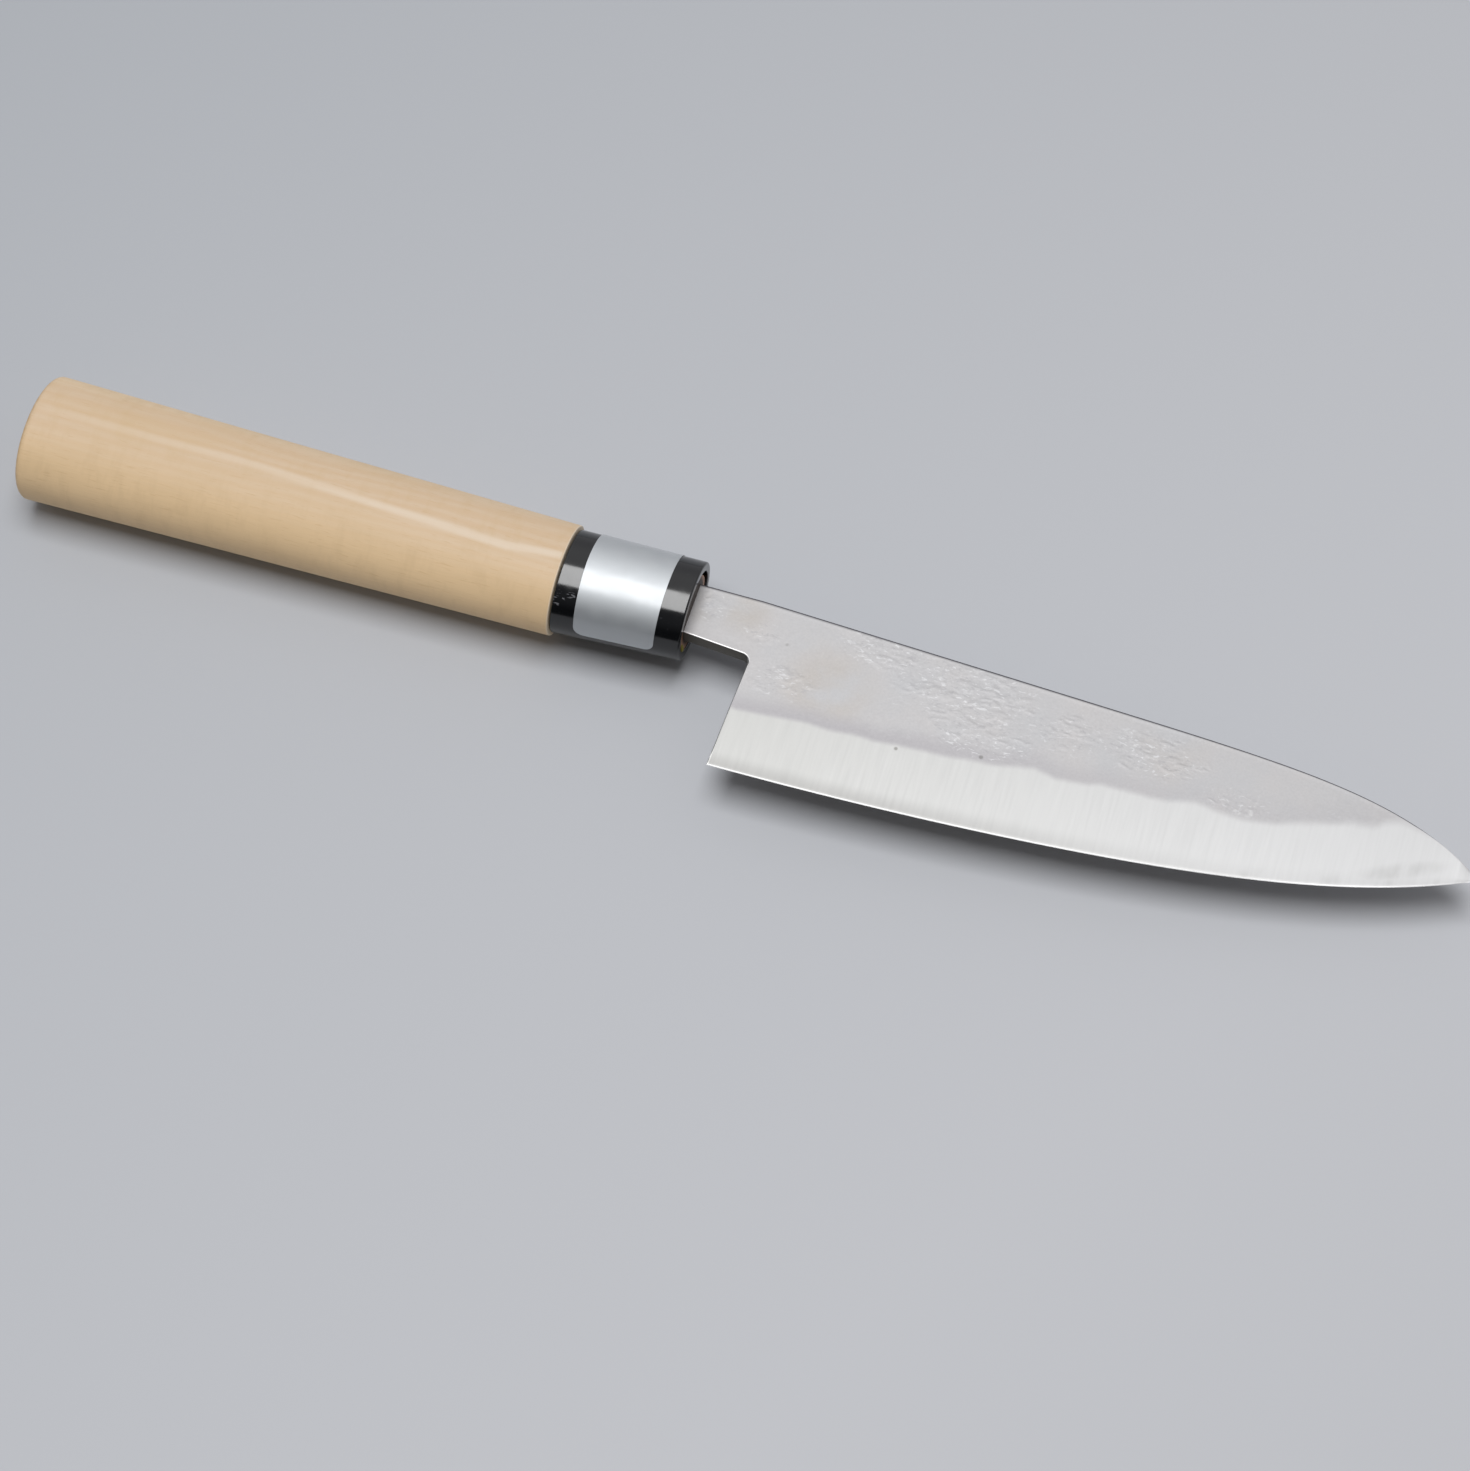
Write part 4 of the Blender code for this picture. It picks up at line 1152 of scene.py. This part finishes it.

# %% [markdown]
# Carbon steel takes stains and the marks of hands. A few soft stains lie on the cheek and the neck, the
# pits are dark inside, the bevel is smudged low down and darker low down towards the heel, and one thumb
# mark lies near the tip.

# %% Place stains and smudges on the steel
STAINS = ((9.0, 2.0, 6.5, 0.7), (1.0, 0.5, 4.0, 0.6), (27.0, -9.0, 12.0, 0.65), (88.0, -3.0, 9.0, 0.25))
stained = pitted = 0.0
for x, y, radius, strength in STAINS:
    stain = near_point(tree, axis, (x * MM, y * MM, 1.4 * MM), radius * MM, 0.0, strength, **SMOOTH)
    stained = add_node(tree, "MAXIMUM", (stained, stain))
uneven = add_node(tree, "MapRange", (clouds, 0.35, 0.6))
stained = add_node(tree, "MULTIPLY", (stained, uneven))
for x, y, radius, strength in PITS:
    middle = (x * MM, y * MM, float(min(surfaces(x * MM, y * MM)[:2])))
    pit = near_point(tree, axis, middle, 1.35 * radius * MM, 0.5 * radius * MM, strength, **SMOOTH)
    pitted = add_node(tree, "MAXIMUM", (pitted, pit))
thumb = add_node(tree, "Mapping", {
    "Vector": axis, "Location": (130.5 * MM, -13.9 * MM, 0.0), "Rotation": (0.0, 0.0, 0.42),
    "Scale": (11.0 * MM, 2.1 * MM, 11.0 * MM)}, vector_type="TEXTURE")
from_thumb = add_node(tree, "VectorMath", [thumb], operation="LENGTH")
smudged = 0.0
for mark_made, part in (
        (add_node(tree, "MapRange", (smudges, 0.45, 0.7, 0.0, 0.3)), where["low"]),
        (add_node(tree, "MapRange", (along, 110 * MM, 25 * MM, 0.1, 0.5), **SMOOTH), where["low"]),
        (add_node(tree, "MapRange", (from_thumb, 1.0, 0.2, 0.0, 0.35), **SMOOTH),
         add_node(tree, "MapRange", (smudges, 0.3, 0.65)))):
    smudge = add_node(tree, "MULTIPLY", (mark_made, part))
    smudged = add_node(tree, "MAXIMUM", (smudged, smudge))
hammered = add_node(tree, "MapRange", (seen["hammered"], 0.05, 0.9), **SMOOTH)
skin_only = add_node(tree, "SUBTRACT", (1.0, where["ground"]))
worked = add_node(tree, "MULTIPLY", (hammered, skin_only))
# Painted highlight and shade: the flakes noise colours the hammered cheek lighter and darker.
flake_highlight, hollow_shade = [
    add_node(tree, "MULTIPLY", (add_node(tree, "MapRange", (flakes, *ends), **SMOOTH), worked))
    for ends in ((0.58, 0.72), (0.42, 0.3, 0.0, 0.6))]
print("stains:", len(STAINS), "pits:", len(PITS))

# %% Colour the steel
# Painted light: the bevel is lighter towards the tip.
bevel_light_to_tip = add_node(tree, "MapRange", (along, 15 * MM, 120 * MM))
behind_heel = add_node(tree, "MapRange", (along, 10.5 * MM, 12 * MM))
near_tip = add_node(tree, "MapRange", (along, 104 * MM, 124 * MM))
scratched = add_node(tree, "MapRange", (scratches, 0.45, 0.75, 0.0, 0.06))
bevel_tone = add_node(tree, "Mix", (bevel_light_to_tip, "#AAAAA8", "#BCBCBC"), **COLOURS)
for amount, colour in ((scratched, "#A6A6A5"), (smudged, "#8B8A88")):
    bevel_tone = add_node(tree, "Mix", (amount, bevel_tone, colour), **COLOURS)
honed_tone = add_node(tree, "Mix", (near_tip, "#979797", "#C0C0C0"), **COLOURS)
# Painted shade: the cut faces are dark, the neck's underside darkest, as they mirror the shaded card.
cut_shade_tone = add_node(tree, "Mix", (behind_heel, "#6B6862", "#575550"), **COLOURS)
tone = add_node(tree, "Mix", (clouds, "#B2B3B5", "#BAB7B6"), **COLOURS)
# Painted dark reflection: the spine's rounded top is coloured dark.
for amount, colour in (
        (stained, "#AFA9A2"), (where["burnished"], "#ACAAAC"), (flake_highlight, "#C7C7C8"), (hollow_shade, "#A7A6A8"),
        (where["ground"], bevel_tone), (pitted, "#66645F"), (where["honed"], honed_tone),
        (where["spine"], "#66656A"), (where["cut"], cut_shade_tone)):
    tone = add_node(tree, "Mix", (amount, tone, colour), **COLOURS)
feed(shader, {"Base Color": tone})
print("steel coloured with", len(tree.nodes), "nodes")

# %% Give the steel its gloss and relief
satin = add_node(tree, "MapRange", (grain, 0.0, 1.0, 0.6, 0.7))
stoned = add_node(tree, "MapRange", (scratches, 0.0, 1.0, 0.54, 0.6))
rough = satin
for amount, value in ((where["ground"], stoned), (where["honed"], 0.42), (where["filed"], 0.42),
                      (where["cut"], 0.6)):
    rough = add_node(tree, "Mix", (amount, rough, value), data_type="FLOAT")
faint = add_node(tree, "MULTIPLY", (scratches, 0.5))
texture = add_node(tree, "Mix", (where["ground"], grain, faint), data_type="FLOAT")
relief = add_node(tree, "Bump", {"Height": texture, "Distance": 0.01 * MM, "Strength": 0.5})
relief = add_node(tree, "Bump", {"Height": flake_highlight, "Distance": 0.02 * MM, "Strength": 0.4, "Normal": relief})
feed(shader, {"Roughness": rough, "Normal": relief})
print("steel mixed with", len(tree.nodes), "nodes")

# %% Forge the blade
follow(forge, blade, {
    "Dent Depth": 0.02 * MM, "Dent Size": 2.2 * MM, "Crease Height": 0.045 * MM, "Crease Size": 2.4 * MM,
    "Wave Depth": 0.05 * MM, "Grind Waver": 0.08 * MM, "Pit Depth": 0.04 * MM, "Seed": 4.0,
    "Material": steel})
settle(blade, 50.0)
join_knife(blade, "blade")

# %% [markdown]
# ## The resin round the tang
#
# The tang is pushed into a hole full of resin, and a little of it is squeezed out when the blade seats. It
# hardens as a thin uneven collar round the neck and as one bead low in the ferrule's mouth. Both could be
# sculpted. Here a fixed pattern of waves pushes the points of a plain loft and a ball about, which comes
# out the same on every run. The bead is olive, and the collar is painted dark with the mouth's shade.

# %% Mix the resin
BEAD_TOP = -6.0 * MM
resin, tree, shader, place = new_material("hardened_bedding_resin", {"IOR": 1.5})
cloudy = add_node(tree, "TexNoise", {"Vector": place, "Scale": waves(0.67), "Detail": 3.0})
olive = add_node(tree, "Mix", (cloudy, "#938D3A", "#4E4C1C"), **COLOURS)
low_down = add_node(tree, "MapRange", (add_node(tree, "SeparateXYZ", [place]).outputs["Y"],
                                       datum.y + BEAD_TOP, datum.y + BEAD_TOP - 0.3 * MM))
# Painted shade: above the bead the resin is dark with the shade inside the ferrule's mouth.
collar_painted_shade = add_node(tree, "Mix", (low_down, "#3B3826", olive), **COLOURS)
dull = add_node(tree, "MapRange", (cloudy, 0.0, 1.0, 0.35, 0.55))
feed(shader, {"Base Color": collar_painted_shade, "Roughness": dull})
print("resin mixed with", len(tree.nodes), "nodes")

# %% Loft the collar
RING_POINTS = 72


def tang_ring(x, clearance, wobble):
    """A rounded oblong round the tang at x, clear of it on all sides."""
    top = float(spine_line(np.float64(x))) + clearance
    bottom = float(underside_line(np.float64(x))) - clearance
    half = NECK_THICKNESS / 2 + TANG_TAPER * min(x, 0.0) + clearance
    ring = []
    for i in range(RING_POINTS):
        angle = 2 * math.pi * i / RING_POINTS
        c, s = math.cos(angle), math.sin(angle)
        push = 1.0 / (abs(c) ** 6 + abs(s) ** 6) ** (1 / 6)
        swell = wobble * (math.sin(3 * angle + 0.7) + 0.6 * math.sin(8 * angle + 2.0))
        y = (top + bottom) / 2 + ((top - bottom) / 2 + swell) * push * s
        ring.append((x, y, (half + swell - CHEEK_LEAN * (top - y) / 2) * push * c))
    return ring


outside = [(x, 0.55, 0.03) for x in (-74.9, -60, -40, -20, -5, -1)]
lip = [(-0.55, 0.55, 0.05), (-0.34, 0.42, 0.07), (-0.3, 0.25, 0.05), (-0.45, 0.12, 0.0)]
inside = [(x, 0.1, 0.0) for x in (-1, -5, -20, -40, -60, -74.9)]
rings = [tang_ring(*[value * MM for value in ring]) for ring in outside + lip + inside]
bedding_points = [point for ring in rings for point in ring]
bedding_faces = []
for this in range(0, len(bedding_points), RING_POINTS):
    following = (this + RING_POINTS) % len(bedding_points)
    for i in range(RING_POINTS):
        j = (i + 1) % RING_POINTS
        bedding_faces.append((this + i, this + j, following + j, following + i))
print("collar has", len(rings), "rings")

# %% Set the bead
BEAD_RADIUS = 0.55 * MM
bead = bmesh.new()
bmesh.ops.create_icosphere(bead, subdivisions=4, radius=BEAD_RADIUS)
bead_first = len(bedding_points)
bead_centre = Vector((-0.25 * MM, -6.95 * MM, -2.0 * MM))
for vert in bead.verts:
    d = vert.co / BEAD_RADIUS
    swell = 1.0 + 0.16 * math.sin(3.1 * d.x + 2.0 * d.y) + 0.12 * math.sin(5.0 * d.z - 2.4 * d.y)
    bedding_points.append(tuple(bead_centre + Vector((vert.co.x * 0.7, vert.co.y, vert.co.z * 1.5)) * swell))
bedding_faces += [tuple(bead_first + vert.index for vert in face.verts) for face in bead.faces]
bead.free()
bedding = new_piece("resin_bedding", bedding_points, faces=bedding_faces)
bedding.data.materials.append(resin)
settle(bedding)
join_knife(bedding, "tang_bedding")
